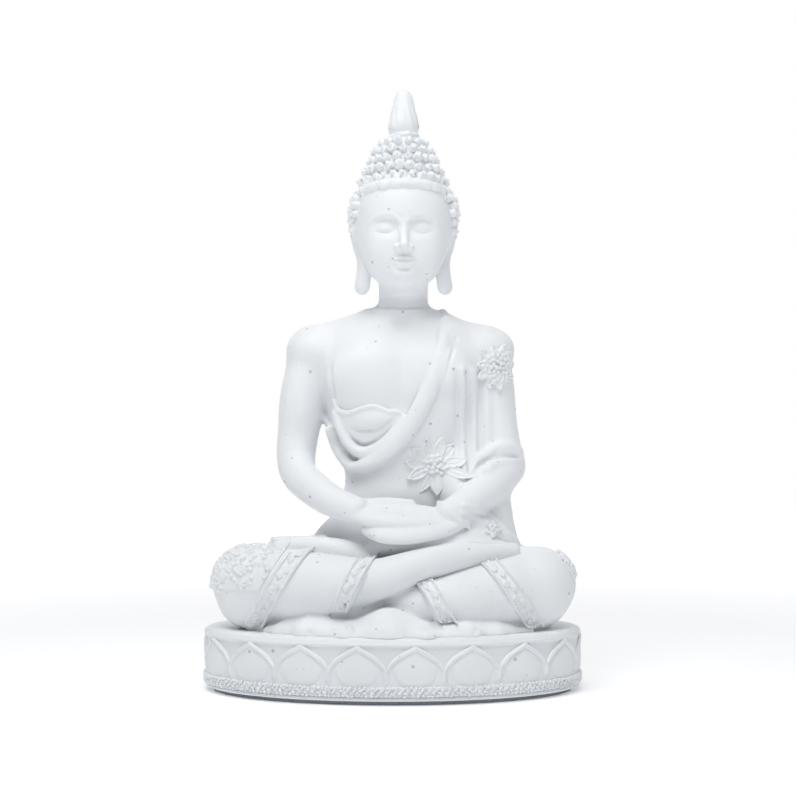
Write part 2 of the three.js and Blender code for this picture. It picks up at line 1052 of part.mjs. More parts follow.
S.robe_sash = fit(sashRaw, [
  S.torso,
  S.upper_robe,
  S.neck,
  S.right_arm,
  S.left_sleeve,
], 0.5);

// Under-robe that shows inside the border, with its rippled upper edge.
S.chest_cloth = fit(
  torsoLoft(1.5).intersect(
    prism(
      [
        [-22, 85.6],
        [-17, 84.7],
        [-14, 84.2],
        [-10, 85.2],
        [-5.7, 85.6],
        [-2, 84.6],
        [3, 83.2],
        [4, 82],
        [-1, 74],
        [-6, 70],
        [-11, 69],
        [-15, 72],
        [-18, 80],
      ],
      -30,
      5,
    ),
  ),
  [S.torso, S.upper_robe, S.robe_sash, S.right_arm],
);

// Cloth sheet under the figure, spread forwards over the pedestal.
{
  const n = 32,
    ring = (z, f, w = 0) =>
      Array.from({ length: n }, (_, i) => {
        const a = (i / n) * Math.PI * 2,
          r = f + (Math.sin(a) < -0.2 ? w * Math.cos(a * 16) : 0);
        return V(47 * r * Math.cos(a), -2 + 31.4 * r * Math.sin(a), z);
      });
  const sheet = loft([
    ring(BASE_TOP + GLUE, 0.985, 0.008),
    ring(BASE_TOP + 1.2, 1, 0.01),
    ring(SEAT_TOP - 0.6, 0.99, 0.008),
    ring(SEAT_TOP, 0.96),
  ]);
  const apron = ellipsoid([0, -11, 18.8], [42, 21.6, 8.4], [0, 0, 0], 20, 8)
    .subtract(box([0, 0, BASE_TOP + GLUE + 0.2 - 50], [300, 300, 100]))
    .subtract(box([0, 60, 20], [300, 120, 100]));
  S.robe_hem = fit(join(sheet, apron), [
    S.seat_body,
    S.right_leg_robe,
    S.left_leg_robe,
    S.right_shin_foot,
    S.left_shin_foot,
  ], 0.6);
}

// The skins that the brocade bands are cut from: the shins, a little thicker.
const sleeveR = limb([
    [-42, -9, 32, 12.3, 12.1],
    [-26, -17, 32.3, 10.7, 11.1],
    [-13, -22, 32.8, 8.7, 9.3],
  ]),
  sleeveL = limb([
    [43, -9, 31.5, 12.3, 12.1],
    [27, -18, 29.8, 9.7, 9.9],
    [14, -22.5, 28.4, 7.3, 7.7],
  ]);

// Brocade bands over the leg robes: a slice of the leg's own skin, thickened.
function band(raw, at, dir, width, others) {
  const slab = box([0, 0, 0], [width, 80, 80]);
  const q = new THREE.Quaternion().setFromUnitVectors(
    V(1, 0, 0),
    V(...dir).normalize(),
  );
  const m = new THREE.Matrix4().compose(V(...at), q, V(1, 1, 1));
  const g = new THREE.BoxGeometry(width, 80, 80);
  g.applyMatrix4(m);
  return fit(
    raw.intersect(solid(g)).subtract(box([0, 53, 30], [300, 100, 100])),
    others,
    0.35,
  );
}
const legs = [
  S.right_leg_robe,
  S.left_leg_robe,
  S.seat_body,
  S.right_shin_foot,
  S.left_shin_foot,
  S.robe_hem,
  S.sleeve_drape,
];
S.right_shin_band = band(sleeveR, [-10.5, -24, 32.5], [0.88, -0.2, -0.43], 4.4, legs);
S.right_knee_band = band(sleeveR, [-33, -18, 31.5], [0.845, -0.1, -0.53], 4.8, legs);
S.left_shin_band = band(sleeveL, [13, -25, 28.2], [0.87, 0.15, 0.46], 4.4, legs);
S.left_knee_band = band(sleeveL, [34.5, -18, 30], [0.81, 0.1, 0.58], 4.8, legs);

// Beaded ornaments on the knees.
function patch(raw, c, r, thick, others) {
  return fit(
    grow(raw, GLUE + thick).intersect(ellipsoid(c, [r, r, r * 0.8])),
    others,
  );
}
S.right_knee_ornament = patch(robeR, [-50, -12, 38.5], 9.5, 1.1, [
  ...legs,
  S.right_knee_band,
]);
S.left_knee_ornament = patch(robeL, [51.5, -11, 37.5], 7.5, 1.0, [
  ...legs,
  S.left_knee_band,
]);

// Applied flowers: a ring of pointed petals round a beaded heart.
function flower(c, normal, petals, r, heart) {
  const q = new THREE.Quaternion().setFromUnitVectors(
    V(0, 0, 1),
    V(...normal).normalize(),
  );
  const n = petals * 4;
  const star = (k, z) =>
    Array.from({ length: n }, (_, i) => {
      const a = (i / n) * Math.PI * 2,
        lobe = [1, 0.8, 0.66, 0.8][i % 4];
      return V(k * lobe * Math.cos(a), k * lobe * Math.sin(a), z);
    });
  const disc = (k, z) =>
    Array.from({ length: n }, (_, i) => {
      const a = (i / n) * Math.PI * 2;
      return V(k * Math.cos(a), k * Math.sin(a), z);
    });
  return loft(
    [
      star(r, -1.2),
      star(r, 0.2),
      star(r * 0.86, 0.8),
      disc(heart, 0.9),
      disc(heart * 0.9, 1.7),
      disc(heart * 0.5, 2.2),
    ].map((ring) => ring.map((p) => p.applyQuaternion(q).add(V(...c)))),
  );
}
S.belly_flower = fit(
  flower([12.6, -7.4, 67.4], [0.38, -0.92, 0.05], 11, 9.2, 3.8),
  [S.upper_robe, S.torso, S.robe_sash, S.left_forearm, S.left_sleeve, S.right_hand],
);
S.shoulder_flower = fit(
  flower([32.6, -0.8, 97.2], [0.3, -0.93, 0.15], 9, 7.2, 3.8),
  [S.left_sleeve, S.upper_robe, S.robe_sash],
);
S.sleeve_flower = fit(flower([30.6, -10.6, 50.6], [0.3, -0.85, 0.4], 6, 3, 1.4), [
  S.sleeve_drape,
  S.left_forearm,
]);

// Steel dowels that lock the castings, with the holes drilled for them.
function pin(name, a, b, r, through) {
  S[name] = dowel(a, b, r);
  const hole = dowel(a, b, r + 0.15);
  const d = V(...b).sub(V(...a)).normalize().multiplyScalar(0.3);
  const longer = dowel(
    V(...a).sub(d).toArray(),
    V(...b).add(d).toArray(),
    r + 0.15,
  );
  for (const n of through) S[n] = main(S[n].subtract(longer).subtract(hole));
}
pin("base_dowel_left", [14, 8, 9], [14, 8, 30], 2, [
  "base_pedestal",
  "robe_hem",
  "seat_body",
]);
pin("base_dowel_right", [-14, 8, 9], [-14, 8, 30], 2, [
  "base_pedestal",
  "robe_hem",
  "seat_body",
]);
pin("torso_dowel", [1.6, 7, 38], [1.6, 7, 62], 2.5, ["seat_body", "torso"]);
pin("neck_dowel", [HEAD_X, 7.2, 104], [HEAD_X, 7.2, 130], 2, ["torso", "neck", "head"]);
pin("finial_dowel", [HEAD_X, 4.5, 161], [HEAD_X, 4.5, 175], 1.2, [
  "topknot",
  "flame_finial",
]);

// -------------------------------------------------------------- the assembly
const STONE = { color: 0xe9ebee, roughness: 0.62, metalness: 0 };
const finish = {
  felt_pad: { color: 0x3a3b3e, roughness: 1, metalness: 0 },
  dowel: { color: 0xb9bcc0, roughness: 0.35, metalness: 1 },
};
const group = new THREE.Group();
group.name = "seated_figure_statue";
for (const [name, s] of Object.entries(S)) {
  const tol = name.includes("dowel") ? 0.01 : ["robe_hem", "upper_robe", "robe_sash"].includes(name) ? 0.05 : 0.11;
  const g = shell(main(solid(shell(thin(s, tol)), /band|ornament/.test(name) ? 0.02 : 2e-3)));
  g.computeVertexNormals();
  const look = finish[name] || (name.includes("dowel") ? finish.dowel : STONE);
  const mesh = new THREE.Mesh(g, new THREE.MeshStandardMaterial(look));
  mesh.name = name;
  group.add(mesh);
}
export default group;
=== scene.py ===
# A white cast-stone seated figure on an oval lotus pedestal.
# The visible skins are sculpted as signed distance fields on grids, in the
# same millimetres as the solids, and turned into meshes one piece at a time.
import json
import math
import bpy
import numpy as np
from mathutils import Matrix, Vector

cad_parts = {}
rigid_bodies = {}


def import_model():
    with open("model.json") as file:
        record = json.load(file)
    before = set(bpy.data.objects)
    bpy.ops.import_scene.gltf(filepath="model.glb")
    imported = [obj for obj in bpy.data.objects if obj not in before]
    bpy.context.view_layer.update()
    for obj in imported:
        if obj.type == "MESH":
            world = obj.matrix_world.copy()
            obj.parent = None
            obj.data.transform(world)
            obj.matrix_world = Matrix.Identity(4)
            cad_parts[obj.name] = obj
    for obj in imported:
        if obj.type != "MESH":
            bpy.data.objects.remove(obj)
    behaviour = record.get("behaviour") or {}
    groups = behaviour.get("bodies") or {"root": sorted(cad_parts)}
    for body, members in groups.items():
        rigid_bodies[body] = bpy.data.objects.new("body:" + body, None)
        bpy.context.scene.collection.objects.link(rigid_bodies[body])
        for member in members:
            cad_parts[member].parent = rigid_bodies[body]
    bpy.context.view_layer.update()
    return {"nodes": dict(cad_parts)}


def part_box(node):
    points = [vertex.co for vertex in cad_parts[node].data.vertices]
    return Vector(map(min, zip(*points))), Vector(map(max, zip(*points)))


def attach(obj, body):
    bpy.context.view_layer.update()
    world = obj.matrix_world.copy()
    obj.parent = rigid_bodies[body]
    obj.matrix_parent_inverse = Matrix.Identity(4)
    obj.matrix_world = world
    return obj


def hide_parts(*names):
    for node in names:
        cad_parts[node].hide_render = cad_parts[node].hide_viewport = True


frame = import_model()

RNG = np.random.default_rng(7)
f32 = np.float32


def box_mm(n):
    lo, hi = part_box(n)
    return np.array(lo) * 1000, np.array(hi) * 1000


# ------------------------------------------------------------ anchors
HLO, HHI = box_mm("head")
HX = (HLO[0] + HHI[0]) / 2
HAIR_LO, HAIR_HI = box_mm("hair_cap")
TOP_LO, TOP_HI = box_mm("topknot")
FIN_LO, FIN_HI = box_mm("flame_finial")
BASE_LO, BASE_HI = box_mm("base_pedestal")
TRIM_LO, TRIM_HI = box_mm("base_trim")
BA = (BASE_HI[0] - BASE_LO[0]) / 2 + 0.3
BB = (BASE_HI[1] - BASE_LO[1]) / 2 + 0.3
BTOP = BASE_HI[2]


# ------------------------------------------------------------ field engine
class Grid:
    def __init__(g, lo, hi, h):
        g.h = h
        g.lo = np.array(lo, float)
        g.n = [int(math.ceil((hi[i] - lo[i]) / h)) + 1 for i in range(3)]
        g.ax = [(g.lo[i] + h * np.arange(g.n[i])).astype(f32) for i in range(3)]
        g.F = np.full(g.n, 6.0, f32)
        g.L = np.zeros(g.n, np.uint8)

    def sl(g, lo, hi, m):
        out = []
        for i in range(3):
            a = int(max(0, math.floor((lo[i] - m - g.lo[i]) / g.h)))
            b = int(min(g.n[i], math.ceil((hi[i] + m - g.lo[i]) / g.h) + 1))
            if b <= a:
                return None
            out.append(slice(a, b))
        return tuple(out)

    def xyz(g, s):
        return (g.ax[0][s[0]][:, None, None], g.ax[1][s[1]][None, :, None],
                g.ax[2][s[2]][None, None, :])

    def add(g, prim, k=0.6, label=None):
        fn, lo, hi = prim
        s = g.sl(lo, hi, k + 2.2)
        if s is None:
            return
        d = fn(*g.xyz(s)).astype(f32)
        a = g.F[s]
        d = np.broadcast_to(d, a.shape)
        if label is not None:
            L = g.L[s]
            L[d < a] = label
        if k > 0:
            hh = np.maximum(k - np.abs(a - d), 0) / k
            g.F[s] = np.minimum(a, d) - hh * hh * (k / 4)
        else:
            g.F[s] = np.minimum(a, d)

    def cut(g, prim, k=0.6):
        fn, lo, hi = prim
        s = g.sl(lo, hi, k + 2.2)
        if s is None:
            return
        d = -np.broadcast_to(fn(*g.xyz(s)).astype(f32), g.F[s].shape)
        a = g.F[s]
        hh = np.maximum(k - np.abs(a - d), 0) / max(k, 1e-6)
        g.F[s] = np.maximum(a, d) + hh * hh * (k / 4)

    def front(g, x, z, y0=None):
        """The y of the first skin met from -Y at (x, z)."""
        i = int(round((x - g.lo[0]) / g.h)); j = int(round((z - g.lo[2]) / g.h))
        i = min(max(i, 0), g.n[0] - 1); j = min(max(j, 0), g.n[2] - 1)
        col = g.F[i, :, j]
        k = np.argmax(col < 0)
        if not (col < 0).any():
            return 0.0 if y0 is None else y0
        if k == 0:
            return float(g.ax[1][0])
        a, b = col[k - 1], col[k]
        return float(g.ax[1][k - 1] + g.h * a / (a - b))

    def sample(g, P):
        """Trilinear value of the field at points (N,3)."""
        q = (np.asarray(P, np.float64) - g.lo) / g.h
        q = np.clip(q, 0, np.array(g.n) - 1.001)
        i = q.astype(int); t = (q - i).astype(f32)
        out = 0
        for dx in (0, 1):
            for dy in (0, 1):
                for dz in (0, 1):
                    w = ((t[:, 0] if dx else 1 - t[:, 0]) * (t[:, 1] if dy else 1 - t[:, 1])
                         * (t[:, 2] if dz else 1 - t[:, 2]))
                    out = out + w * g.F[i[:, 0] + dx, i[:, 1] + dy, i[:, 2] + dz]
        return out

    def grad(g, P, e=None):
        e = e or g.h * 0.9
        P = np.asarray(P, float)
        n = np.stack([g.sample(P + d) - g.sample(P - d) for d in np.eye(3) * e], 1)
        l = np.linalg.norm(n, axis=1, keepdims=True)
        return n / np.maximum(l, 1e-9)

    def snap(g, P, n=10):
        """Points moved onto the skin along the field's slope."""
        P = np.array(P, float)
        for _ in range(n):
            d = g.sample(P)
            P = P - g.grad(P) * np.clip(d, -1.2, 1.2)[:, None]
        return P

    def nets(g):
        """Vertices, quads and labels of the zero level."""
        S = g.F < 0
        c = np.zeros([n - 1 for n in g.n], np.uint8)
        for dx in (0, 1):
            for dy in (0, 1):
                for dz in (0, 1):
                    c += S[dx:g.n[0] - 1 + dx, dy:g.n[1] - 1 + dy, dz:g.n[2] - 1 + dz]
        I = np.argwhere((c > 0) & (c < 8))
        idx = np.full([n - 1 for n in g.n], -1, np.int32)
        idx[I[:, 0], I[:, 1], I[:, 2]] = np.arange(len(I))
        val = {}
        for dx in (0, 1):
            for dy in (0, 1):
                for dz in (0, 1):
                    val[dx, dy, dz] = g.F[I[:, 0] + dx, I[:, 1] + dy, I[:, 2] + dz]
        acc = np.zeros((len(I), 3)); cnt = np.zeros(len(I))
        for a in val:
            for ax in range(3):
                if a[ax]:
                    continue
                b = list(a); b[ax] = 1; b = tuple(b)
                va, vb = val[a], val[b]
                m = (va < 0) != (vb < 0)
                t = np.where(m, va / np.where(m, va - vb, 1), 0)
                p = np.repeat(np.array([a], float), len(I), 0)
                p[:, ax] += t
                acc += p * m[:, None]; cnt += m
        V = g.lo + g.h * (I + acc / cnt[:, None])
        quads = []
        for ax in range(3):
            o = [0, 1, 2]; o.remove(ax); u, v = o
            lo = [slice(0, None)] * 3; hi = [slice(0, None)] * 3
            lo[ax] = slice(0, g.n[ax] - 1); hi[ax] = slice(1, g.n[ax])
            for q in (u, v):
                lo[q] = slice(1, g.n[q] - 1); hi[q] = slice(1, g.n[q] - 1)
            A, B = S[tuple(lo)], S[tuple(hi)]
            E = np.argwhere(A != B)
            if not len(E):
                continue
            flip = A[E[:, 0], E[:, 1], E[:, 2]]
            E[:, u] += 1; E[:, v] += 1

            def at(du, dv):
                e = E.copy(); e[:, u] += du; e[:, v] += dv
                return idx[e[:, 0], e[:, 1], e[:, 2]]
            q = np.stack([at(-1, -1), at(0, -1), at(0, 0), at(-1, 0)], 1)
            if ax == 1:
                flip = ~flip
            q = np.where(flip[:, None], q, q[:, ::-1])
            quads.append(q)
        Q = np.concatenate(quads)
        Q = Q[(Q >= 0).all(1)]
        lab = g.L[I[:, 0], I[:, 1], I[:, 2]]
        return V, Q, lab


# ------------------------------------------------------------ shapes
def rotm(rx=0, ry=0, rz=0):
    cx, sx, cy, sy, cz, sz = (f(a) for a in (rx, ry, rz) for f in (math.cos, math.sin))
    X = np.array([[1, 0, 0], [0, cx, -sx], [0, sx, cx]])
    Y = np.array([[cy, 0, sy], [0, 1, 0], [-sy, 0, cy]])
    Z = np.array([[cz, -sz, 0], [sz, cz, 0], [0, 0, 1]])
    return Z @ Y @ X


def ell(c, r, rot=None):
    c = np.array(c, float); r = np.array(r, float)
    R = np.eye(3) if rot is None else rotm(*rot)
    ext = np.sqrt(((R * r) ** 2).sum(1))

    def fn(X, Y, Z):
        x, y, z = X - c[0], Y - c[1], Z - c[2]
        if rot is not None:
            x, y, z = (R[0, i] * x + R[1, i] * y + R[2, i] * z for i in range(3))
        a = np.sqrt((x / r[0]) ** 2 + (y / r[1]) ** 2 + (z / r[2]) ** 2)
        b = np.sqrt((x / r[0] ** 2) ** 2 + (y / r[1] ** 2) ** 2 + (z / r[2] ** 2) ** 2)
        return a * (a - 1) / np.maximum(b, 1e-6)
    return fn, c - ext, c + ext


def rbox(c, h, r=0.3, rot=None):
    c = np.array(c, float); h = np.array(h, float)
    R = np.eye(3) if rot is None else rotm(*rot)
    ext = np.abs(R) @ h

    def fn(X, Y, Z):
        x, y, z = X - c[0], Y - c[1], Z - c[2]
        if rot is not None:
            x, y, z = (R[0, i] * x + R[1, i] * y + R[2, i] * z for i in range(3))
        qx, qy, qz = np.abs(x) - h[0] + r, np.abs(y) - h[1] + r, np.abs(z) - h[2] + r
        o = np.sqrt(np.maximum(qx, 0) ** 2 + np.maximum(qy, 0) ** 2 + np.maximum(qz, 0) ** 2)
        return o + np.minimum(np.maximum(qx, np.maximum(qy, qz)), 0) - r
    return fn, c - ext, c + ext


def spline(P, n):
    """Centripetal-like smooth curve through rows, n samples."""
    P = np.asarray(P, float)
    d = np.sqrt(np.maximum(np.linalg.norm(np.diff(P[:, :3], axis=0), axis=1), 1e-6))
    t = np.concatenate([[0], np.cumsum(d)])
    m = np.zeros_like(P)
    for i in range(len(P)):
        if i == 0:
            m[i] = (P[1] - P[0]) / (t[1] - t[0])
        elif i == len(P) - 1:
            m[i] = (P[-1] - P[-2]) / (t[-1] - t[-2])
        else:
            a = (P[i] - P[i - 1]) / (t[i] - t[i - 1]); b = (P[i + 1] - P[i]) / (t[i + 1] - t[i])
            m[i] = (a * (t[i + 1] - t[i]) + b * (t[i] - t[i - 1])) / (t[i + 1] - t[i - 1])
    u = np.linspace(0, t[-1], n)
    k = np.clip(np.searchsorted(t, u, side="right") - 1, 0, len(P) - 2)
    h = (t[k + 1] - t[k]); s = (u - t[k]) / h
    h, s = h[:, None], s[:, None]
    return ((2 * s**3 - 3 * s**2 + 1) * P[k] + (s**3 - 2 * s**2 + s) * h * m[k]
            + (-2 * s**3 + 3 * s**2) * P[k + 1] + (s**3 - s**2) * h * m[k + 1])


def chain(P, n=None, flat=None, q=1.0):
    """A tapered round limb through rows [x, y, z, r]. With flat, it is q times
    thinner along that direction."""
    P = np.asarray(P, float)
    length = np.linalg.norm(np.diff(P[:, :3], axis=0), axis=1).sum()
    n = n or int(max(4, min(34, length / max(0.5, P[:, 3].min()) * 1.6)))
    C = spline(P, n) if len(P) > 2 else P
    C[:, 3] = np.maximum(C[:, 3], 0.05)
    R = C[:, 3].max()
    lo = C[:, :3].min(0) - R; hi = C[:, :3].max(0) + R
    N = None if flat is None else np.array(flat, float) / np.linalg.norm(flat)

    def fn(X, Y, Z):
        shape = np.broadcast_shapes(X.shape, Y.shape, Z.shape)
        D = np.full(shape, 6.0, f32)
        xs, ys, zs = X.ravel(), Y.ravel(), Z.ravel()
        for a, b in zip(C[:-1], C[1:]):
            m = max(a[3], b[3]) + 3.0
            sl = []
            for ax, arr in enumerate((xs, ys, zs)):
                i0 = np.searchsorted(arr, min(a[ax], b[ax]) - m)
                i1 = np.searchsorted(arr, max(a[ax], b[ax]) + m)
                sl.append(slice(i0, i1))
            if any(s.stop <= s.start for s in sl):
                continue
            x = xs[sl[0]][:, None, None] - a[0]
            y = ys[sl[1]][None, :, None] - a[1]
            z = zs[sl[2]][None, None, :] - a[2]
            d = (b - a)[:3]; L2 = float(d @ d) + 1e-9
            t = np.clip((x * d[0] + y * d[1] + z * d[2]) / L2, 0, 1)
            vx, vy, vz = x - t * d[0], y - t * d[1], z - t * d[2]
            v2 = vx * vx + vy * vy + vz * vz
            if N is not None:
                vn = vx * N[0] + vy * N[1] + vz * N[2]
                v2 = v2 + vn * vn * (q * q - 1)
            r = a[3] + t * (b[3] - a[3])
            dd = np.sqrt(v2) - r
            if N is not None:
                dd = dd * (0.5 + 0.5 / q)
            D[tuple(sl)] = np.minimum(D[tuple(sl)], dd)
        return D
    return fn, lo, hi


def table(rows):
    """Smooth interpolation of rows over their first column."""
    rows = np.asarray(rows, float)
    z = rows[:, 0]
    zz = np.linspace(z[0], z[-1], 400)
    out = [zz]
    for c in range(1, rows.shape[1]):
        v = rows[:, c]
        m = np.gradient(v, z)
        k = np.clip(np.searchsorted(z, zz, side="right") - 1, 0, len(z) - 2)
        h = z[k + 1] - z[k]; s = (zz - z[k]) / h
        out.append((2 * s**3 - 3 * s**2 + 1) * v[k] + (s**3 - 2 * s**2 + s) * h * m[k]
                   + (-2 * s**3 + 3 * s**2) * v[k + 1] + (s**3 - s**2) * h * m[k + 1])
    return out


TORSO = [
    (34, 0.6, 7.5, 27.0, 15.5), (42, 0.8, 7.5, 26.0, 15.0), (48, 1.0, 7.0, 22.5, 13.8),
    (54, 1.6, 6.5, 17.6, 12.6), (60, 1.7, 6.0, 15.2, 11.9), (65, 1.8, 6.0, 14.9, 11.7),
    (71, 2.0, 6.0, 16.9, 12.2), (78, 2.2, 5.8, 20.6, 12.9), (86, 2.4, 5.6, 22.9, 13.6),
    (94, 2.6, 5.8, 24.9, 13.9), (101, 2.7, 6.3, 26.3, 12.9), (106.5, 2.8, 7.0, 24.8, 11.3),
    (110.5, 2.9, 7.4, 19.5, 9.7), (113, 3.0, 7.4, 12.8, 8.4), (115.0, 3.1, 7.4, 8.6, 7.6)]
TT = table(TORSO)
EXP = 2.3


def torso_fn(X, Y, Z):
    cx, cy, rx, ry = (np.interp(Z, TT[0], TT[i]) for i in (1, 2, 3, 4))
    x, y = X - cx, Y - cy
    gg = (np.abs(x / rx) ** EXP + np.abs(y / ry) ** EXP) ** (1 / EXP)
    rad = np.sqrt(x * x + y * y)
    d = rad * (1 - 1 / np.maximum(gg, 1e-3))
    d = np.maximum(d, -np.minimum(rx, ry))
    # the slope of the shoulders makes the level distance too long
    k = np.interp(Z, [98, 104, 110, 115], [1, 0.8, 0.5, 0.4])
    d = d * k
    return np.maximum(d, np.maximum(TORSO[0][0] - Z, Z - TORSO[-1][0]))


TORSO_LO, TORSO_HI = (-27, -9, 34), (31, 24, 115)


def skin_y(x, z, d=0.0):
    cx, cy, rx, ry = (np.interp(z, TT[0], TT[i]) for i in (1, 2, 3, 4))
    u = min(0.99, abs(x - cx) / (rx + d))
    return cy - (ry + d) * (1 - u**EXP) ** (1 / EXP)


def poly2(A, B, pts):
    """Signed distance to a closed outline in two coordinates, negative inside."""
    shape = np.broadcast_shapes(A.shape, B.shape)
    d = np.full(shape, 1e9); sgn = np.ones(shape)
    n = len(pts)
    for i in range(n):
        (ax, ay), (bx, by) = pts[i - 1], pts[i]
        ex, ey = bx - ax, by - ay
        wx, wy = A - ax, B - ay
        t = np.clip((wx * ex + wy * ey) / (ex * ex + ey * ey + 1e-9), 0, 1)
        d = np.minimum(d, (wx - ex * t) ** 2 + (wy - ey * t) ** 2)
        c = ((ay > B) != (by > B)) & (A < (bx - ax) * (B - ay) / ((by - ay) or 1e-9) + ax)
        sgn = np.where(c, -sgn, sgn)
    return np.sqrt(d) * sgn


def smooth_poly(pts, n=60):
    P = spline([[a, b, 0] for a, b in pts], n)
    return [(p[0], p[1]) for p in P]


# ------------------------------------------------------------ mesh output
def make(name, V, Q, N=None, mat=None, rep=None, tris=None):
    me = bpy.data.meshes.new(name)
    V = np.asarray(V, float) / 1000
    me.vertices.add(len(V)); me.vertices.foreach_set("co", V.astype(f32).ravel())
    faces = [np.asarray(Q)] if Q is not None and len(Q) else []
    counts = [np.full(len(Q), 4)] if faces else []
    if tris is not None and len(tris):
        faces.append(np.asarray(tris)); counts.append(np.full(len(tris), 3))
    flat = np.concatenate([f.ravel() for f in faces]).astype(np.int32)
    cnt = np.concatenate(counts).astype(np.int32)
    me.loops.add(len(flat)); me.loops.foreach_set("vertex_index", flat)
    me.polygons.add(len(cnt))
    me.polygons.foreach_set("loop_start", np.concatenate([[0], np.cumsum(cnt)[:-1]]).astype(np.int32))
    me.update(calc_edges=True)
    me.validate(verbose=False)
    me.polygons.foreach_set("use_smooth", np.ones(len(me.polygons), bool))
    if N is not None and len(me.vertices) == len(N):
        me.normals_split_custom_set_from_vertices(np.asarray(N, float).tolist())
    o = bpy.data.objects.new(name, me)
    bpy.context.scene.collection.objects.link(o)
    me.materials.append(mat or STONE)
    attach(o, "root")
    if rep:
        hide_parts(*([rep] if isinstance(rep, str) else rep))
    return o


def relax(V, Q, n=1, w=0.5):
    """Even out the grid's stair steps."""
    e = np.concatenate([Q[:, [0, 1]], Q[:, [1, 2]], Q[:, [2, 3]], Q[:, [3, 0]]])
    for _ in range(n):
        s = np.zeros_like(V); c = np.zeros(len(V))
        for a, b in ((0, 1), (1, 0)):
            for k in range(3):
                s[:, k] += np.bincount(e[:, a], V[e[:, b], k], len(V))
            c += np.bincount(e[:, a], minlength=len(V))
        V = V * (1 - w) + w * s / np.maximum(c, 1)[:, None]
    return V


def emit(g, names, passes=1):
    """One mesh per label, with the whole skin's normals on every piece."""
    V, Q, lab = g.nets()
    V = relax(V, Q, passes, 0.5)
    for _ in range(2):
        V = V - g.grad(V) * np.clip(g.sample(V), -0.2, 0.2)[:, None] * 0.8
    N = g.grad(V, g.h * 1.1)
    ql = lab[Q]
    fl = np.zeros(len(Q), np.uint8)
    best = np.zeros(len(Q), int)
    for l in names:
        c = (ql == l).sum(1)
        m = c > best
        fl[m] = l; best[m] = c[m]
    out = {}
    for l, (name, rep) in names.items():
        q = Q[fl == l]
        if not len(q):
            print("EMPTY", name)
            continue
        used, inv = np.unique(q, return_inverse=True)
        out[l] = make(name, V[used], inv.reshape(q.shape), N[used], rep=rep)
        print("piece", name, len(q))
    return out


def solo(g, name, rep, mat=None, slot="cast_stone", passes=1):
    V, Q, _ = g.nets()
    V = relax(V, Q, passes, 0.4)
    print("piece", name, len(Q))
    return make(name, V, Q, g.grad(V, g.h * 1.1), mat=mat, rep=rep)


# ------------------------------------------------------------ materials
def nodes_of(mat):
    mat.use_nodes = True
    nt = mat.node_tree
    nt.nodes.clear()
    out = nt.nodes.new("ShaderNodeOutputMaterial")
    bs = nt.nodes.new("ShaderNodeBsdfPrincipled")
    nt.links.new(bs.outputs[0], out.inputs[0])
    tc = nt.nodes.new("ShaderNodeTexCoord")
    return nt, bs, tc


def math_node(nt, op, a, b=None, clamp=False):
    n = nt.nodes.new("ShaderNodeMath"); n.operation = op; n.use_clamp = clamp
    for i, v in enumerate((a, b)):
        if v is None:
            continue
        if isinstance(v, (int, float)):
            n.inputs[i].default_value = v
        else:
            nt.links.new(v, n.inputs[i])
    return n.outputs[0]


def noise(nt, tc, scale, detail=3, rough=0.55, off=(0, 0, 0)):
    mp = nt.nodes.new("ShaderNodeMapping"); mp.inputs["Location"].default_value = off
    nt.links.new(tc.outputs["Object"], mp.inputs["Vector"])
    n = nt.nodes.new("ShaderNodeTexNoise")
    n.inputs["Scale"].default_value = scale
    n.inputs["Detail"].default_value = detail
    n.inputs["Roughness"].default_value = rough
    nt.links.new(mp.outputs[0], n.inputs["Vector"])
    return n.outputs["Fac"]


def dots(nt, tc, scale, size, keep, off=(0, 0, 0)):
    """Sparse round specks: 1 inside a speck, 0 elsewhere."""
    mp = nt.nodes.new("ShaderNodeMapping"); mp.inputs["Location"].default_value = off
    nt.links.new(tc.outputs["Object"], mp.inputs["Vector"])
    v = nt.nodes.new("ShaderNodeTexVoronoi"); v.feature = "F1"
    v.inputs["Scale"].default_value = scale
    nt.links.new(mp.outputs[0], v.inputs["Vector"])
    sep = nt.nodes.new("ShaderNodeSeparateColor")
    nt.links.new(v.outputs["Color"], sep.inputs[0])
    pick = math_node(nt, "GREATER_THAN", sep.outputs[0], 1 - keep)
    rad = math_node(nt, "MULTIPLY", math_node(nt, "ADD", sep.outputs[1], 0.45), size)
    edge = math_node(nt, "SUBTRACT", rad, v.outputs["Distance"])
    soft = math_node(nt, "MULTIPLY", edge, 1 / (size * 0.45), clamp=True)
    return math_node(nt, "MULTIPLY", soft, pick)


def ramp(nt, fac, stops):
    r = nt.nodes.new("ShaderNodeValToRGB")
    el = r.color_ramp.elements
    while len(el) < len(stops):
        el.new(0.5)
    for e, (p, c) in zip(el, stops):
        e.position = p; e.color = (*c, 1)
    nt.links.new(fac, r.inputs[0])
    return r.outputs[0]


def mix(nt, fac, a, b, mode="MIX"):
    m = nt.nodes.new("ShaderNodeMix"); m.data_type = "RGBA"; m.blend_type = mode
    for i, v in ((0, fac), (6, a), (7, b)):
        if isinstance(v, (int, float)):
            m.inputs[i].default_value = v
        elif isinstance(v, tuple):
            m.inputs[i].default_value = (*v, 1)
        else:
            nt.links.new(v, m.inputs[i])
    return m.outputs[2]


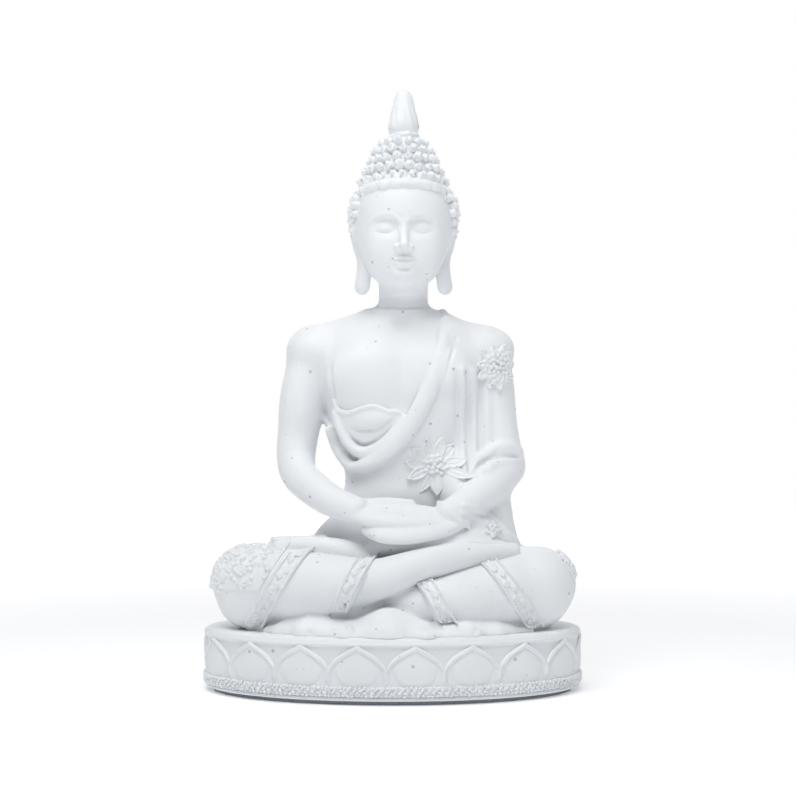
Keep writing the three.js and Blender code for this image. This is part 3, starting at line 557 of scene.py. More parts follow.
def stone(name, warm=0.0, grain=1.0):
    mat = bpy.data.materials.new(name)
    nt, bs, tc = nodes_of(mat)
    cloud = noise(nt, tc, 38, 4, 0.6)
    base = ramp(nt, cloud, [(0.25, (0.775 + warm, 0.80 + warm * 0.7, 0.82)),
                            (0.75, (0.84 + warm, 0.862 + warm * 0.8, 0.88))])
    geo = nt.nodes.new("ShaderNodeNewGeometry")
    # painted shade and highlight: hollows are tinted a bluish grey as if in shade, and sharp edges are brightened as if
    # catching light
    painted_shade_and_highlight = ramp(nt, geo.outputs["Pointiness"], [(0.40, (0.80, 0.81, 0.85)), (0.5, (1, 1, 1)),
                                               (0.62, (1.04, 1.04, 1.04))])
    # the painted shade in hollows and the painted highlight on edges are multiplied into the stone colour
    col = mix(nt, 0.4, base, painted_shade_and_highlight, "MULTIPLY")
    big = dots(nt, tc, 250, 0.115, 0.62)
    small = dots(nt, tc, 420, 0.09, 0.3, (3.1, 1.7, 0.4))
    col = mix(nt, math_node(nt, "MULTIPLY", big, 0.62), col, (0.36, 0.36, 0.42))
    col = mix(nt, math_node(nt, "MULTIPLY", small, 0.38), col, (0.45, 0.45, 0.5))
    nt.links.new(col, bs.inputs["Base Color"])
    fine = noise(nt, tc, 1500, 3, 0.6)
    mid = noise(nt, tc, 260, 3, 0.55, (1, 2, 3))
    r = math_node(nt, "ADD", 0.46, math_node(nt, "MULTIPLY", mid, 0.16))
    r = math_node(nt, "ADD", r, math_node(nt, "MULTIPLY", big, 0.2))
    nt.links.new(r, bs.inputs["Roughness"])
    hgt = math_node(nt, "ADD", math_node(nt, "MULTIPLY", fine, 0.35 * grain),
                    math_node(nt, "MULTIPLY", mid, 0.9))
    hgt = math_node(nt, "SUBTRACT", hgt, math_node(nt, "MULTIPLY", big, 2.2))
    hgt = math_node(nt, "SUBTRACT", hgt, math_node(nt, "MULTIPLY", small, 1.0))
    b = nt.nodes.new("ShaderNodeBump")
    b.inputs["Strength"].default_value = 0.5
    b.inputs["Distance"].default_value = 0.00006
    nt.links.new(hgt, b.inputs["Height"])
    nt.links.new(b.outputs[0], bs.inputs["Normal"])
    bs.inputs["Specular IOR Level"].default_value = 0.36
    return mat


STONE = stone("cast_stone")


def simple(name, c0, c1, rough, metal, bump, scale):
    mat = bpy.data.materials.new(name)
    nt, bs, tc = nodes_of(mat)
    n = noise(nt, tc, scale, 5, 0.7)
    nt.links.new(ramp(nt, n, [(0.3, c0), (0.7, c1)]), bs.inputs["Base Color"])
    nt.links.new(math_node(nt, "ADD", rough - 0.1, math_node(nt, "MULTIPLY", n, 0.2)), bs.inputs["Roughness"])
    b = nt.nodes.new("ShaderNodeBump"); b.inputs["Strength"].default_value = 0.6
    b.inputs["Distance"].default_value = bump
    nt.links.new(n, b.inputs["Height"]); nt.links.new(b.outputs[0], bs.inputs["Normal"])
    bs.inputs["Metallic"].default_value = metal
    return mat


# the felt pad is a real part, but its dark blue-grey is also painted shadow: it stands in for the dark contact line
# under the pedestal
FELT_WITH_PAINTED_SHADOW = simple("felt", (0.20, 0.21, 0.24), (0.32, 0.33, 0.36), 0.95, 0, 0.0003, 2600)
STEEL = simple("dowel_steel", (0.5, 0.5, 0.52), (0.7, 0.7, 0.72), 0.35, 1, 0.00003, 900)

# ------------------------------------------------------------ the figure
H = 0.44
g = Grid((-57.5, -37.5, 17.8), (60, 27, 125), H)
(TORSO_L, NECK, R_ARM, R_HAND, L_HAND, L_FORE, L_SLEEVE, DRAPE, ROBE, SASH, CHEST, SEAT,
 R_LEG, L_LEG, R_FOOT, L_FOOT, HEM) = range(1, 18)

# hips, thighs and knees
g.add(ell((0, 8.5, 33), (27, 17, 15)), 0, SEAT)
for s in (-1, 1):
    g.add(chain([[s * 10, 5, 32, 12], [s * 28, 1.5, 31.5, 11.6], [s * 41, -2, 31, 10.8]]), 6, SEAT)
g.add((torso_fn, TORSO_LO, TORSO_HI), 5, TORSO_L)
# chest: pectorals, collarbones, hollow of the throat, armpit crease
for s in (-1, 1):
    g.add(ell((2.6 + s * 10.5, -3.2, 94.5), (11.5, 5.6, 8.6), (0.15, 0, s * -0.18)), 6, TORSO_L)
    g.add(chain([[3 + s * 3.5, 0.6, 110.6, 0.9], [3 + s * 11, 1.4, 110.4, 0.8], [3 + s * 20, 4.6, 109.4, 0.7]]), 3, TORSO_L)
g.cut(ell((3, -1.6, 112), (2.4, 2.6, 2.2)), 3)
g.cut(chain([[2.6, -9.4, 103, 0.5], [2.5, -10.2, 92, 0.7], [2.4, -9.5, 86, 0.4]]), 4)
g.add(ell((1, -2.4, 56), (12, 4.4, 8)), 6, TORSO_L)

# the robe over the torso: a skin with a soft edge
FRONT = smooth_poly([(17, 125), (17, 112), (14.2, 104), (12, 97), (9.2, 89), (5, 81), (-1, 73.6),
                     (-7, 69.4), (-11.5, 68.6), (-15.5, 72), (-18.5, 80), (-27, 86)], 50) + [
    (-45, 86), (-45, 44), (45, 44), (45, 125)]
BACK = smooth_poly([(17, 125), (13, 112), (2, 101), (-14, 92), (-27, 86)], 30) + [
    (-45, 86), (-45, 44), (45, 44), (45, 125)]


def robe_fn(X, Y, Z):
    t = torso_fn(X, Y, Z) - 1.6
    mf, mb = poly2(X, Z, FRONT), poly2(X, Z, BACK)
    w = np.clip((Y - 4) / 5, 0, 1)
    m = mf * (1 - w) + mb * w
    h = np.maximum(1.6 - np.abs(t - m), 0) / 1.6
    return np.maximum(t, m) + h * h * 0.4


g.add((robe_fn, (-30, -12, 44), (34, 27, 116)), 0.5, ROBE)

# bare right arm
g.add(chain([[-23.4, 7.4, 101.2, 8.5], [-26.9, 7, 92, 7.3], [-28.9, 5.6, 80, 6.5], [-29.7, 3, 70, 5.9],
             [-28.4, -1.4, 65, 5.5], [-24.2, -6.4, 61, 5.2], [-17.8, -12, 56.9, 4.7],
             [-11, -15.8, 54.4, 4.1]], 40), 2.6, R_ARM)
g.add(ell((-25.2, 7, 103.4), (6.8, 7.6, 5.4), (0, 0.25, 0)), 5, R_ARM)
g.add(ell((-28.6, 3, 88), (4.6, 5, 10), (0, 0.08, 0)), 4, R_ARM)
# slope from the neck to the shoulder
g.add(chain([[-6, 7.4, 113.2, 3.0], [-12, 7.4, 110.8, 3.8], [-17.5, 7.3, 108.5, 4.2], [-24.4, 7.2, 105.6, 4.9]], 24), 4, TORSO_L)
# fold of the armpit
g.cut(chain([[-20.2, -5.2, 104, 0.3], [-18.8, -5.8, 96, 0.7], [-18.7, -5.2, 89, 1.0], [-19.4, -2, 84, 0.9]]), 1.6)
g.cut(chain([[-29.5, 0.2, 106.9, 0.2], [-25.5, -0.6, 108.4, 0.4], [-21.5, -0.9, 109.2, 0.2]]), 0.9)

# left upper arm in its sleeve
g.add(chain([[27, 7.5, 101.4, 9.2], [29.6, 7, 92, 8.2], [31, 5.2, 80, 7.6], [32.6, 3, 70.5, 7.4]], 30), 2.2, L_SLEEVE)
g.add(ell((29, 7, 103.2), (8.2, 7.6, 5.6), (0, -0.22, 0)), 5, L_SLEEVE)
g.add(chain([[12.5, 7.4, 112.0, 3.4], [18, 7.4, 109.4, 3.7], [24, 7.3, 106.6, 4.4], [29.8, 7.2, 103.6, 5.0]], 24), 4, ROBE)
# cloth hanging between the chest and the arm
g.add(chain([[22, 4.5, 98, 5.0], [23, 3.6, 84, 6.2], [24, 2.4, 70, 6.8], [24.5, 0.5, 60, 6.8], [26, -1, 52, 6.0]], 24), 3, L_SLEEVE)
g.add(chain([[19, -1.5, 66, 6.5], [20, -4, 59, 6.6], [23, -5.5, 52, 6.5]], 16), 3, ROBE)
# forearm
g.add(chain([[33.6, 2.6, 67.5, 7.3], [31, -3.4, 63.6, 6.2], [25.4, -9.8, 58.6, 5.3],
             [20, -14.4, 55.2, 4.4], [16, -16.6, 53.4, 3.9]], 30), 1.2, L_FORE)

# vertical folds between the chest and the sleeve
for x0, x1, r, k in ((20.8, 21.6, 0.8, 2.4), (24.4, 25.2, 1.0, 2.4), (28.6, 28.6, 0.8, 2.4)):
    P = []
    for z in (96, 88, 80, 72, 66):
        x = x0 + (x1 - x0) * (96 - z) / 30
        P.append([x, g.front(x, z) + 0.1, z, r * (0.45 if z in (96, 66) else 1)])
    g.add(chain(P), k, L_SLEEVE)
for x0, x1, r in ((19.2, 20.0, 0.35), (22.4, 23.4, 0.6), (26.4, 26.8, 0.5)):
    P = []
    for z in (95, 86, 78, 70, 65):
        x = x0 + (x1 - x0) * (95 - z) / 30
        P.append([x, g.front(x, z) - 0.1, z, r * (0.4 if z in (95, 65) else 1)])
    g.cut(chain(P), 1.7)

# the sleeve turned back at the elbow: a thick roll, a crease, a second roll
roll = [(23.2, -9, 64.4), (25.6, -9, 68.3), (28.9, -8, 71.6), (33.0, -6, 73.4), (36.3, -3, 73.5), (38.6, 2, 72.4)]
g.add(chain([[x, g.front(x, z, y) + 0.9, z, r] for (x, y, z), r in zip(roll, (0.7, 1.1, 1.35, 1.4, 1.2, 0.8))]
            + [[38.6, 7, 71.5, 0.8], [36, 11, 72.0, 0.6]], 26), 1.6, L_SLEEVE)
crease = [(24.3, -10, 65.3), (26.7, -10, 68.0), (30.0, -9, 69.8), (34.1, -7, 70.4), (38.7, -3, 70.2)]
g.cut(chain([[x, g.front(x, z, y) - 0.1, z, r] for (x, y, z), r in zip(crease, (0.4, 0.8, 1.0, 1.0, 0.7))]), 0.5)
roll2 = [(25.4, -11, 64.1), (28.4, -11, 66.8), (32.4, -9, 68.3), (36.9, -6, 68.6)]
g.add(chain([[x, g.front(x, z, y) + 0.7, z, r] for (x, y, z), r in zip(roll2, (0.5, 0.9, 1.0, 0.7))]), 1.6, L_FORE)

# the end of the robe: from the wrist over the thigh to the outside
g.add(chain([[30.6, -1, 58, 5.2], [31.4, -2, 50, 5.6], [33, -2.4, 44, 5.4]], 12), 2.5, DRAPE)
g.add(chain([[18, -14.6, 52.6, 2.6], [24, -11.6, 51.4, 3.6], [31, -8, 47.6, 3.2], [37.6, -6, 42.8, 1.6]],
            20, flat=(0.1, -0.6, 0.8), q=1.5), 1.6, DRAPE)
for a, b, c, r in (((20, -15.2, 53.4), (27, -11.6, 50.8), (36, -8.6, 43.4), 0.75),
                   ((21, -11, 55.8), (28.6, -8, 53), (37.4, -6.2, 44.8), 0.8)):
    P = spline([[*a], [*b], [*c]], 8)
    g.add(chain([[x, g.front(x, z, y) + 0.2, z, r] for x, y, z in P]), 1.0, DRAPE)

# under-robe across the chest with its rippled lip
lip = [(-18.0, -5, 87.7), (-16.4, -6, 84.6), (-13.9, -8, 83.6), (-11.8, -8, 83.9), (-9.1, -8, 84.8), (-5.8, -8, 85.4), (-3.4, -8, 84.8),
       (-1.3, -8, 83.9), (1.0, -8, 83.9), (3.1, -8, 83.0)]
cloth = [(x, z) for x, y, z in lip] + [(3.5, 80), (-1, 76), (-5, 74), (-9, 73.6), (-13, 76), (-17, 82)]


def cloth_fn(X, Y, Z):
    t = torso_fn(X, Y, Z) - 1.5 - 1.5 * np.exp(-((X + 6.5) / 7) ** 2 - ((Z - 80.6) / 3.6) ** 2)
    m = poly2(X, Z, cloth)
    h = np.maximum(1.0 - np.abs(t - m), 0) / 1.0
    return np.maximum(np.maximum(t, m) + h * h * 0.25, Y - 3)


g.add((cloth_fn, (-22, -14, 70), (6, 4, 89)), 0.3, CHEST)
P = []
for i, (x, y, z) in enumerate(lip):
    P.append([x, skin_y(x, z, 1.3) - 0.2, z - 0.2, (0.5, 0.75, 0.8, 0.8, 0.75, 0.8, 0.75, 0.8, 0.75, 0.5)[i]])
g.add(chain(P, 40), 0.5, CHEST)
for pts, r in (([(-12.7, -9, 78.7), (-10.3, -9, 77.8), (-7.3, -9, 77.8), (-4.3, -9, 78.1), (-1.3, -9, 79.9), (1.9, -9, 82.9)], 0.85),
               ([(-13.0, -9, 77.0), (-11.5, -9, 74.9), (-9.1, -9, 73.7), (-5.8, -9, 74.3), (-2.5, -9, 76.4), (1.0, -9, 80.5)], 0.95)):
    n = len(pts)
    P = [[x, g.front(x, z, y) - 0.2, z, r * (0.35 if i in (0, n - 1) else 1)] for i, (x, y, z) in enumerate(pts)]
    g.cut(chain(P, 26), 0.35)

# the broad folded border from the left shoulder round under the right breast
A = [(16.4, 2, 111.8), (15.3, -3, 103.3), (12.8, -6, 94.5), (9.7, -8, 87.2), (6.4, -9, 81.1), (1.9, -9, 74.9), (-2.8, -9, 70.4),
     (-7.9, -8, 67.7), (-11.9, -6, 67.1), (-15.0, -4, 69.9), (-17.5, -2, 73.8), (-19.4, 0, 78.5)]
ra = (1.8, 2.3, 2.6, 2.75, 2.75, 2.65, 2.5, 2.2, 1.95, 1.8, 1.6, 1.3)
P = [[x, skin_y(x, z, 1.6) - (-0.9 + 1.9 * min(1, i / 5)), z, r] for i, ((x, y, z), r) in enumerate(zip(A, ra))]
g.add(chain(P, 84, flat=(0.25, -0.95, 0.1), q=1.7), 0.6, SASH)
B = [(3.4, -9, 81.7), (1.0, -9, 77.8), (-2.2, -9, 74.3), (-6.1, -9, 71.9), (-9.7, -8, 71.6), (-12.8, -7, 73.7), (-15.6, -5, 78.3), (-17.5, -3, 83.8)]
rb = (1.0, 1.5, 1.8, 1.9, 1.8, 1.7, 1.5, 1.0)
g.add(chain([[x, skin_y(x, z, 1.8) + 0.4, z, r] for (x, y, z), r in zip(B, rb)], 34), 0.9, SASH)
# the seam line up to the shoulder; the paths C and D along the border's lower side are listed but not used
C = [(11.2, -10, 85.9), (8.2, -10, 79.9), (4.6, -10, 74.2), (0.4, -10, 69.2), (-4.3, -10, 65.6), (-9.1, -9, 64.1), (-12.8, -7, 65.0), (-15.6, -5, 67.7)]
D = [(-1.9, -10, 72.4), (-5.2, -10, 68.9), (-8.5, -9, 67.4), (-12.1, -8, 68.6), (-15.2, -6, 72.2)]
E = [(19.4, 0, 106.6), (18.1, -2, 102.1), (16.8, -4, 97.7), (15.6, -5, 92.8)]
g.cut(chain([[x, g.front(x, z, y), z, r] for (x, y, z), r in zip(E, (0.3, 0.45, 0.4, 0.2))], 16), 0.3)

# back of the robe: the end thrown over the left shoulder and long folds
for x0, x1, r in ((22, 17, 1.4), (16, 9, 1.2), (9, 0, 1.1), (1, -9, 1.0)):
    P = []
    for z in (104, 92, 80, 68, 56):
        x = x0 + (x1 - x0) * (104 - z) / 48
        cx, cy, rx, ry = (np.interp(z, TT[0], TT[i]) for i in (1, 2, 3, 4))
        u = min(0.97, abs(x - cx) / (rx + 1.6))
        P.append([x, cy + (ry + 1.6) * (1 - u**EXP) ** (1 / EXP) - 0.2, z, r * (0.12 if z in (104, 56) else 0.8)])
    g.add(chain(P, 22), 2.8, ROBE)

# robe over knees and shins
for s, L, P in ((-1, R_LEG, [[-42, -9, 32, 11.2], [-27, -17, 32.4, 9.9], [-12.2, -22, 32.9, 8.1]]),
                (1, L_LEG, [[43, -9, 31.6, 11.2], [28, -17.8, 30, 8.9], [13.4, -23, 28.3, 6.4]])):
    g.add(ell((s * 42.6 + 0.6, -8, 32.6), (11.2, 13, 10.6)), 3, L)
    g.add(chain(P, 16), 1.8, L)
    g.add(ell((s * 41, -9.5, 26), (9.6, 10.5, 7.4)), 3, L)
# the cuffs end the robe: open the cloth in front of the shins
g.cut(rbox((-4.4, -26, 33), (4, 12, 12), 0.3, (0, 0.46, 0)), 0.4)
g.cut(rbox((5.6, -27, 28), (4, 12, 9.5), 0.3, (0, -0.42, 0)), 0.4)

# right shin and foot on top, left shin and foot from below
g.add(chain([[-12, -20.6, 32.4, 6.6], [-2, -22.4, 35.1, 5.8], [6, -22.6, 38.0, 4.9], [14, -20.8, 40, 4.5],
             [24, -17.6, 41.7, 3.7], [31, -15, 42.3, 2.9], [35.6, -13.6, 42.5, 2.1]], 34), 0.5, R_FOOT)
g.add(chain([[-24, -15, 24, 6.8], [-10, -15.5, 25, 6.6], [2, -13, 25, 6], [14, -14, 25, 6]], 20), 2.5, SEAT)
g.add(chain([[-34, -8, 40.4, 2.6], [-22, -8, 41, 3.2], [-10, -8.5, 41.2, 3.6]], 12), 2, SEAT)
g.add(chain([[-8, -11, 42.6, 3.0], [3, -15.4, 44.0, 3.4], [10, -16.6, 44.8, 3.2], [19, -16, 45.4, 3.2], [27, -12, 45.4, 3.8], [33, -6, 43, 4]], 24), 2, SEAT)
g.add(chain([[14, -21.6, 27.8, 5.4], [6, -19.6, 27.4, 5.6], [-2, -14, 31, 5.2], [-8, -13, 38.5, 4.4],
             [-14, -13.8, 42, 3.6], [-22, -13.6, 43.4, 3.0], [-29, -12.8, 44, 2.6], [-34, -12.4, 44.2, 2.0]], 36), 0.5, L_FOOT)
g.add(rbox((-27, -10.6, 43.9), (8.2, 4.6, 2.1), 1.6, (0.2, -0.04, 0.1)), 1.5, L_FOOT)
for i in range(4):
    x = -35.0; y = -8.2 + 2.0 * i - 4
    g.cut(chain([[x, y + 1.0, 46.0, 0.35], [x + 5, y + 0.8, 46.4, 0.2]], 3), 0.5)
g.cut(chain([[22, -19.6, 44.8, 0.25], [34, -15.6, 44.4, 0.25]], 4), 0.5)

# the sheet under the figure, spilling forwards over the pedestal
hem = []
for i in range(160):
    a = i / 160 * 2 * math.pi
    r = 1 + (0.016 * math.cos(a * 23) + 0.01 * math.cos(a * 37 + 1)) * (1 if math.sin(a) < 0 else 0.3)
    hem.append((0.8 + 46.2 * r * math.cos(a), -2.4 + (32.8 if a > math.pi else 27.4) * r * math.sin(a)))


def hem_fn(X, Y, Z):
    m = poly2(X, Y, hem)
    # three swelling lobes at the front, with valleys between them
    lobe = (np.exp(-((X + 1.0) / 8.5) ** 2) * 5.4 + np.exp(-((X + 25) / 11) ** 2) * 4.0
            + np.exp(-((X - 26) / 12) ** 2) * 2.8)
    slope = np.clip(-(m) / 7.0, 0, 1)
    top = 19.6 + (slope ** 0.6) * (1.6 + lobe * np.clip((-14 - Y) / 8, 0, 1))
    dz = (Z - top) * 0.75
    h = np.maximum(1.4 - np.abs(dz - m), 0) / 1.4
    return np.maximum(np.maximum(dz, m) + h * h * 0.35, BTOP - 0.3 - Z)


g.add((hem_fn, (-48, -36, 18), (49, 31, 29)), 1.4, HEM)
for x0, y0, x1, y1, r in ((-15, -24, -11, -33, 0.9), (11, -27, 15, -33.5, 0.8), (-36, -22, -33, -27, 0.6),
                          (36, -23, 34, -28, 0.6), (-24, -29.5, -22, -32, 0.5), (24, -29.5, 23, -32.4, 0.5)):
    P = []
    for t in (0, 0.33, 0.66, 1):
        x, y = x0 + (x1 - x0) * t, y0 + (y1 - y0) * t
        zz = g.ax[2]
        i = int((x - g.lo[0]) / H); j = int((y - g.lo[1]) / H)
        col = g.F[i, j, :int((30 - g.lo[2]) / H)]
        neg = np.where(col < 0)[0]
        z = float(zz[neg[-1]]) if len(neg) else 20
        P.append([x, y, z + 0.1, r * (0.4 if t in (0, 1) else 1)])
    g.cut(chain(P, 10), 1.2)

# hands in the lap, the right one lying in the left one
NRM = (0.0, -0.5, 0.86)
g.add(chain([[19, -15.6, 51.6, 4.2], [12, -18.4, 49.6, 5.2], [4, -19.6, 48.3, 5.6], [-2.4, -19.4, 48.2, 4.9],
             [-6.0, -18.2, 48.7, 3.2]], 22, flat=NRM, q=1.9), 0.5, L_HAND)
g.add(chain([[-11, -15.8, 54.0, 4.2], [-4, -17.2, 53.0, 5.8], [4, -17.8, 52.4, 6.0], [11, -17.4, 52.0, 5.2],
             [16.6, -16.6, 51.8, 3.8]], 24, flat=NRM, q=2.0), 0.5, R_HAND)
g.add(chain([[-9, -13.6, 56.0, 1.7], [-2, -13.0, 56.4, 1.7], [5.6, -12.6, 56.2, 1.3]], 10), 1.0, R_HAND)
g.cut(ell((1.5, -20.8, 55.6), (8.0, 2.6, 2.0), (-0.5, 0, 0)), 1.8)
for k, (y, z) in enumerate(((-14.6, 54.7), (-17.4, 53.2), (-20.0, 51.6))):
    g.cut(chain([[6.5, y - 0.3, z + 0.8, 0.18], [12, y, z + 0.2, 0.36], [17.5, y + 0.6, z - 0.8, 0.3]], 8), 0.5)
for k, (y, z) in enumerate(((-21.6, 48.0), (-23.3, 46.4))):
    g.cut(chain([[-7, y + 1.6, z + 0.4, 0.2], [0, y, z, 0.32], [7, y, z, 0.2]], 8), 0.5)
# cloth fold at the left wrist
g.add(chain([[13.5, -16.8, 56.6, 0.7], [16.4, -19.2, 54.6, 1.1], [19.4, -19.2, 51.6, 1.0], [22.6, -16.6, 49.4, 0.6]], 12), 0.8, DRAPE)

# neck with its creases
g.add(chain([[HX, 7.2, 110, 8.4], [HX, 7.2, 116, 7.7], [HX, 6.8, 123, 7.5]], 10), 3.2, NECK)
for z in (116.8, 119.2):
    P = [[HX + 8.1 * math.cos(a), 7.1 + 8.1 * math.sin(a), z + 0.9 * math.sin(a) + 0.15 * math.sin(3 * a + z), 0.05 + 0.22 * math.sin((a - math.pi)) ** 2]
         for a in np.linspace(math.pi * 1.04, math.pi * 1.96, 14)]
    g.cut(chain(P, 40), 0.9)
g.F[:, :, -2:] = np.maximum(g.F[:, :, -2:], 0.2)

NAMES = {TORSO_L: ("bare_chest", "torso"), NECK: ("creased_neck", "neck"), R_ARM: ("bare_right_arm", "right_arm"),
         R_HAND: ("upper_hand", "right_hand"), L_HAND: ("lower_hand", "left_hand"),
         L_FORE: ("sleeved_forearm", "left_forearm"), L_SLEEVE: ("sleeve_with_turnback", "left_sleeve"),
         DRAPE: ("robe_end_drape", "sleeve_drape"), ROBE: ("robe_body", "upper_robe"),
         SASH: ("folded_border", "robe_sash"), CHEST: ("rippled_under_robe", "chest_cloth"),
         SEAT: ("hips_and_thighs", "seat_body"), R_LEG: ("right_leg_cloth", "right_leg_robe"),
         L_LEG: ("left_leg_cloth", "left_leg_robe"), R_FOOT: ("right_shin_and_foot", "right_shin_foot"),
         L_FOOT: ("left_shin_and_foot", "left_shin_foot"), HEM: ("spread_hem", "robe_hem")}
BODY = emit(g, NAMES, 2)


# ------------------------------------------------------------ head, hair and finial
g2 = Grid((HX - 20, -19.5, 119.2), (HX + 20, 26, 185.4), 0.26)
(HEAD, L_EAR, R_EAR, HAIR, TOP, BAND, FIN) = range(1, 8)


def h2(*P):
    return [[HX + p[0], *p[1:]] for p in P]


def onface(pts, off):
    """Rows [x, z, r] laid on the skin, sunk or raised by off."""
    return [[HX + x, g2.front(HX + x, z) + off, z, r] for x, z, r in pts]


def hell(c, r, rot=None):
    return ell((HX + c[0], c[1], c[2]), r, rot)


g2.add(hell((0, 4.5, 142), (15, 16.6, 15)), 0, HEAD)
g2.add(hell((0, 0.2, 137), (13.0, 12.6, 14)), 5, HEAD)
g2.add(hell((0, -1.8, 128.4), (9.0, 9.2, 7.6)), 5, HEAD)
g2.add(hell((0, -4.0, 147), (10.5, 7.6, 7.2)), 6, HEAD)
for s in (-1, 1):
    g2.add(hell((s * 6.0, -5.6, 132.0), (4.6, 4.6, 6.2)), 5, HEAD)
g2.add(hell((0, -8.2, 124.6), (3.4, 3.4, 2.9)), 3.4, HEAD)
g2.add(chain(h2([0, 7, 119, 7.6], [0, 6.6, 126, 7.6])), 2.5, HEAD)
# sockets under a clear brow, full closed lids
for s in (-1, 1):
    g2.cut(hell((s * 5.4, -14.0, 138.5), (4.2, 2.7, 2.3), (0, 0, s * 0.2)), 3.0)
for s in (-1, 1):
    g2.add(hell((s * 5.3, -8.9, 138.0), (3.5, 2.9, 2.3), (0, 0, s * 0.25)), 0.7, HEAD)
g2.add(chain(h2([0, -11.0, 142.6, 1.0], [0, -11.9, 140.0, 0.95], [0, -12.9, 137.0, 0.95], [0, -13.9, 134.3, 1.15],
                [0, -14.5, 132.6, 1.4]), 24), 1.3, HEAD)
for s in (-1, 1):
    g2.add(hell((s * 1.75, -12.7, 132.1), (1.1, 1.5, 0.95)), 0.8, HEAD)
    g2.cut(hell((s * 0.9, -13.9, 131.1), (0.5, 0.8, 0.3)), 0.3)
    g2.add(chain(onface([(s * 1.3, 140.0, 0.35), (s * 2.6, 141.2, 0.42), (s * 5.2, 142.0, 0.42), (s * 7.8, 141.4, 0.36),
                         (s * 10.0, 139.8, 0.2)], 0.28), 26), 1.1, HEAD)
g2.cut(chain(onface([(0, 130.6, 0.3), (0, 129.7, 0.4)], -0.12), 4), 0.8)
g2.add(chain(onface([(-3.5, 128.5, 0.25), (-1.9, 128.95, 0.55), (-0.65, 129.2, 0.62), (0, 129.05, 0.55), (0.65, 129.2, 0.62),
                     (1.9, 128.95, 0.55), (3.5, 128.5, 0.25)], -0.1), 24), 0.5, HEAD)
g2.add(chain(onface([(-2.8, 127.8, 0.3), (-1.4, 127.25, 0.7), (0, 127.05, 0.8), (1.4, 127.25, 0.7), (2.8, 127.8, 0.3)], 0.0), 20), 0.6, HEAD)
g2.cut(chain(onface([(-3.9, 128.65, 0.25), (-2, 128.25, 0.22), (0, 128.15, 0.22), (2, 128.25, 0.22), (3.9, 128.65, 0.25)], -0.05), 20), 0.28)
g2.cut(hell((0, -12.4, 125.7), (2.4, 1.0, 0.6)), 1.1)
for s in (-1, 1):
    g2.cut(chain(onface([(s * 2.7, 137.4, 0.15), (s * 4.0, 136.7, 0.24), (s * 5.8, 136.5, 0.24), (s * 8.2, 137.2, 0.15)], 0.0), 18), 0.22)
    g2.cut(chain(onface([(s * 2.6, 139.5, 0.12), (s * 5.3, 140.4, 0.2), (s * 8.2, 139.6, 0.12)], 0.05), 14), 0.35)

# long ears
for s, L in ((1, L_EAR), (-1, R_EAR)):
    g2.add(hell((s * 13.9, 5.2, 140.2), (2.3, 3.4, 6.4), (0, 0, s * 0.2)), 0.8, L)
    g2.add(chain(h2([s * 13.4, 4.6, 136, 2.2], [s * 12.4, 3.4, 130.5, 2.2], [s * 12.3, 2.4, 126.0, 2.5],
                    [s * 12.7, 2.0, 122.7, 2.6]), 22, flat=(0.6 * s, -0.8, 0), q=1.4), 1.0, L)
    # outer rim, running down into the long lobe
    g2.add(chain(h2([s * 15.0, 2.2, 140.6, 0.6], [s * 15.8, 1.9, 143.6, 0.8], [s * 16.3, 3.6, 146.2, 0.95],
                    [s * 16.4, 6.4, 146.4, 1.0], [s * 16.3, 8.6, 143.6, 0.95], [s * 15.7, 8.8, 139.8, 0.9],
                    [s * 14.9, 7.4, 135.6, 0.85], [s * 13.7, 5.8, 131.6, 0.8], [s * 13.4, 4.6, 127.6, 0.8],
                    [s * 13.9, 3.4, 123.6, 0.7]), 44), 0.45, L)
    # inner fold and hollow
    g2.cut(hell((s * 16.4, 4.4, 140.6), (1.7, 1.9, 3.2), (0.15, 0, 0)), 0.7)
    g2.add(chain(h2([s * 15.5, 4.6, 144.4, 0.45], [s * 15.6, 6.6, 142.2, 0.6], [s * 15.1, 6.4, 138.6, 0.6],
                    [s * 14.5, 4.8, 136.2, 0.55]), 18), 0.4, L)
    g2.add(hell((s * 15.0, 2.0, 138.6), (0.8, 0.9, 1.3)), 0.5, L)
    g2.cut(chain(h2([s * 12.6, -0.6, 128.6, 0.4], [s * 12.8, -1.0, 125.2, 0.6]), 6), 0.8)

# front roll of hair, lightly rippled: its path over the forehead
ROLL = []
for i, t in enumerate(np.linspace(-1, 1, 29)):
    x = 12.4 * math.sin(t * 1.3) / math.sin(1.3)
    z = 151.3 - 0.9 * abs(t) ** 2 - (2.0 * (abs(t) - 0.82) / 0.18 if abs(t) > 0.82 else 0) + 0.14 * math.sin(i * 1.9)
    y = g2.front(HX + x, z)
    ROLL.append([HX + x, y - 0.15, z, 1.6 + 0.12 * math.sin(i * 2.3) - 1.1 * max(0, abs(t) - 0.75) / 0.25])

# cap of hair, set back for the curls that cover it
HC = (0, 5.4, 143.8); HR = (15.7, 16.5, 14.2)
hair = ell((HX, HC[1], HC[2]), HR)
FACE = smooth_poly([(-13.4, 120), (-13.6, 138), (-13.2, 145), (-11.8, 148.6), (-7, 150.2), (0, 150.6),
                    (7, 150.2), (11.8, 148.6), (13.2, 145), (13.6, 138), (13.4, 120)], 50)


def hair_fn(X, Y, Z):
    t = hair[0](X, Y, Z)
    m = -np.maximum(poly2(X - HX, Z, FACE), Y - 1.5)
    low = 131.5 - np.clip((Y - 2) / 6, 0, 1) * 6.5 - Z
    return np.maximum(np.maximum(t, m), low)


g2.add((hair_fn, hair[1], hair[2]), 0.3, HAIR)
knot = table([(152, 12.4), (156, 11.3), (160, 9.6), (164, 7.6), (167, 5.4), (169.2, 3.9), (171, 3.0)])


def knot_fn(X, Y, Z):
    r = np.sqrt((X - HX) ** 2 + (Y - 4.5) ** 2)
    return np.maximum((r - np.interp(Z, knot[0], knot[1])) * 0.82, np.maximum(152 - Z, Z - 170.6))


g2.add((knot_fn, (HX - 12, -8, 152), (HX + 12, 17, 170.6)), 0.4, TOP)


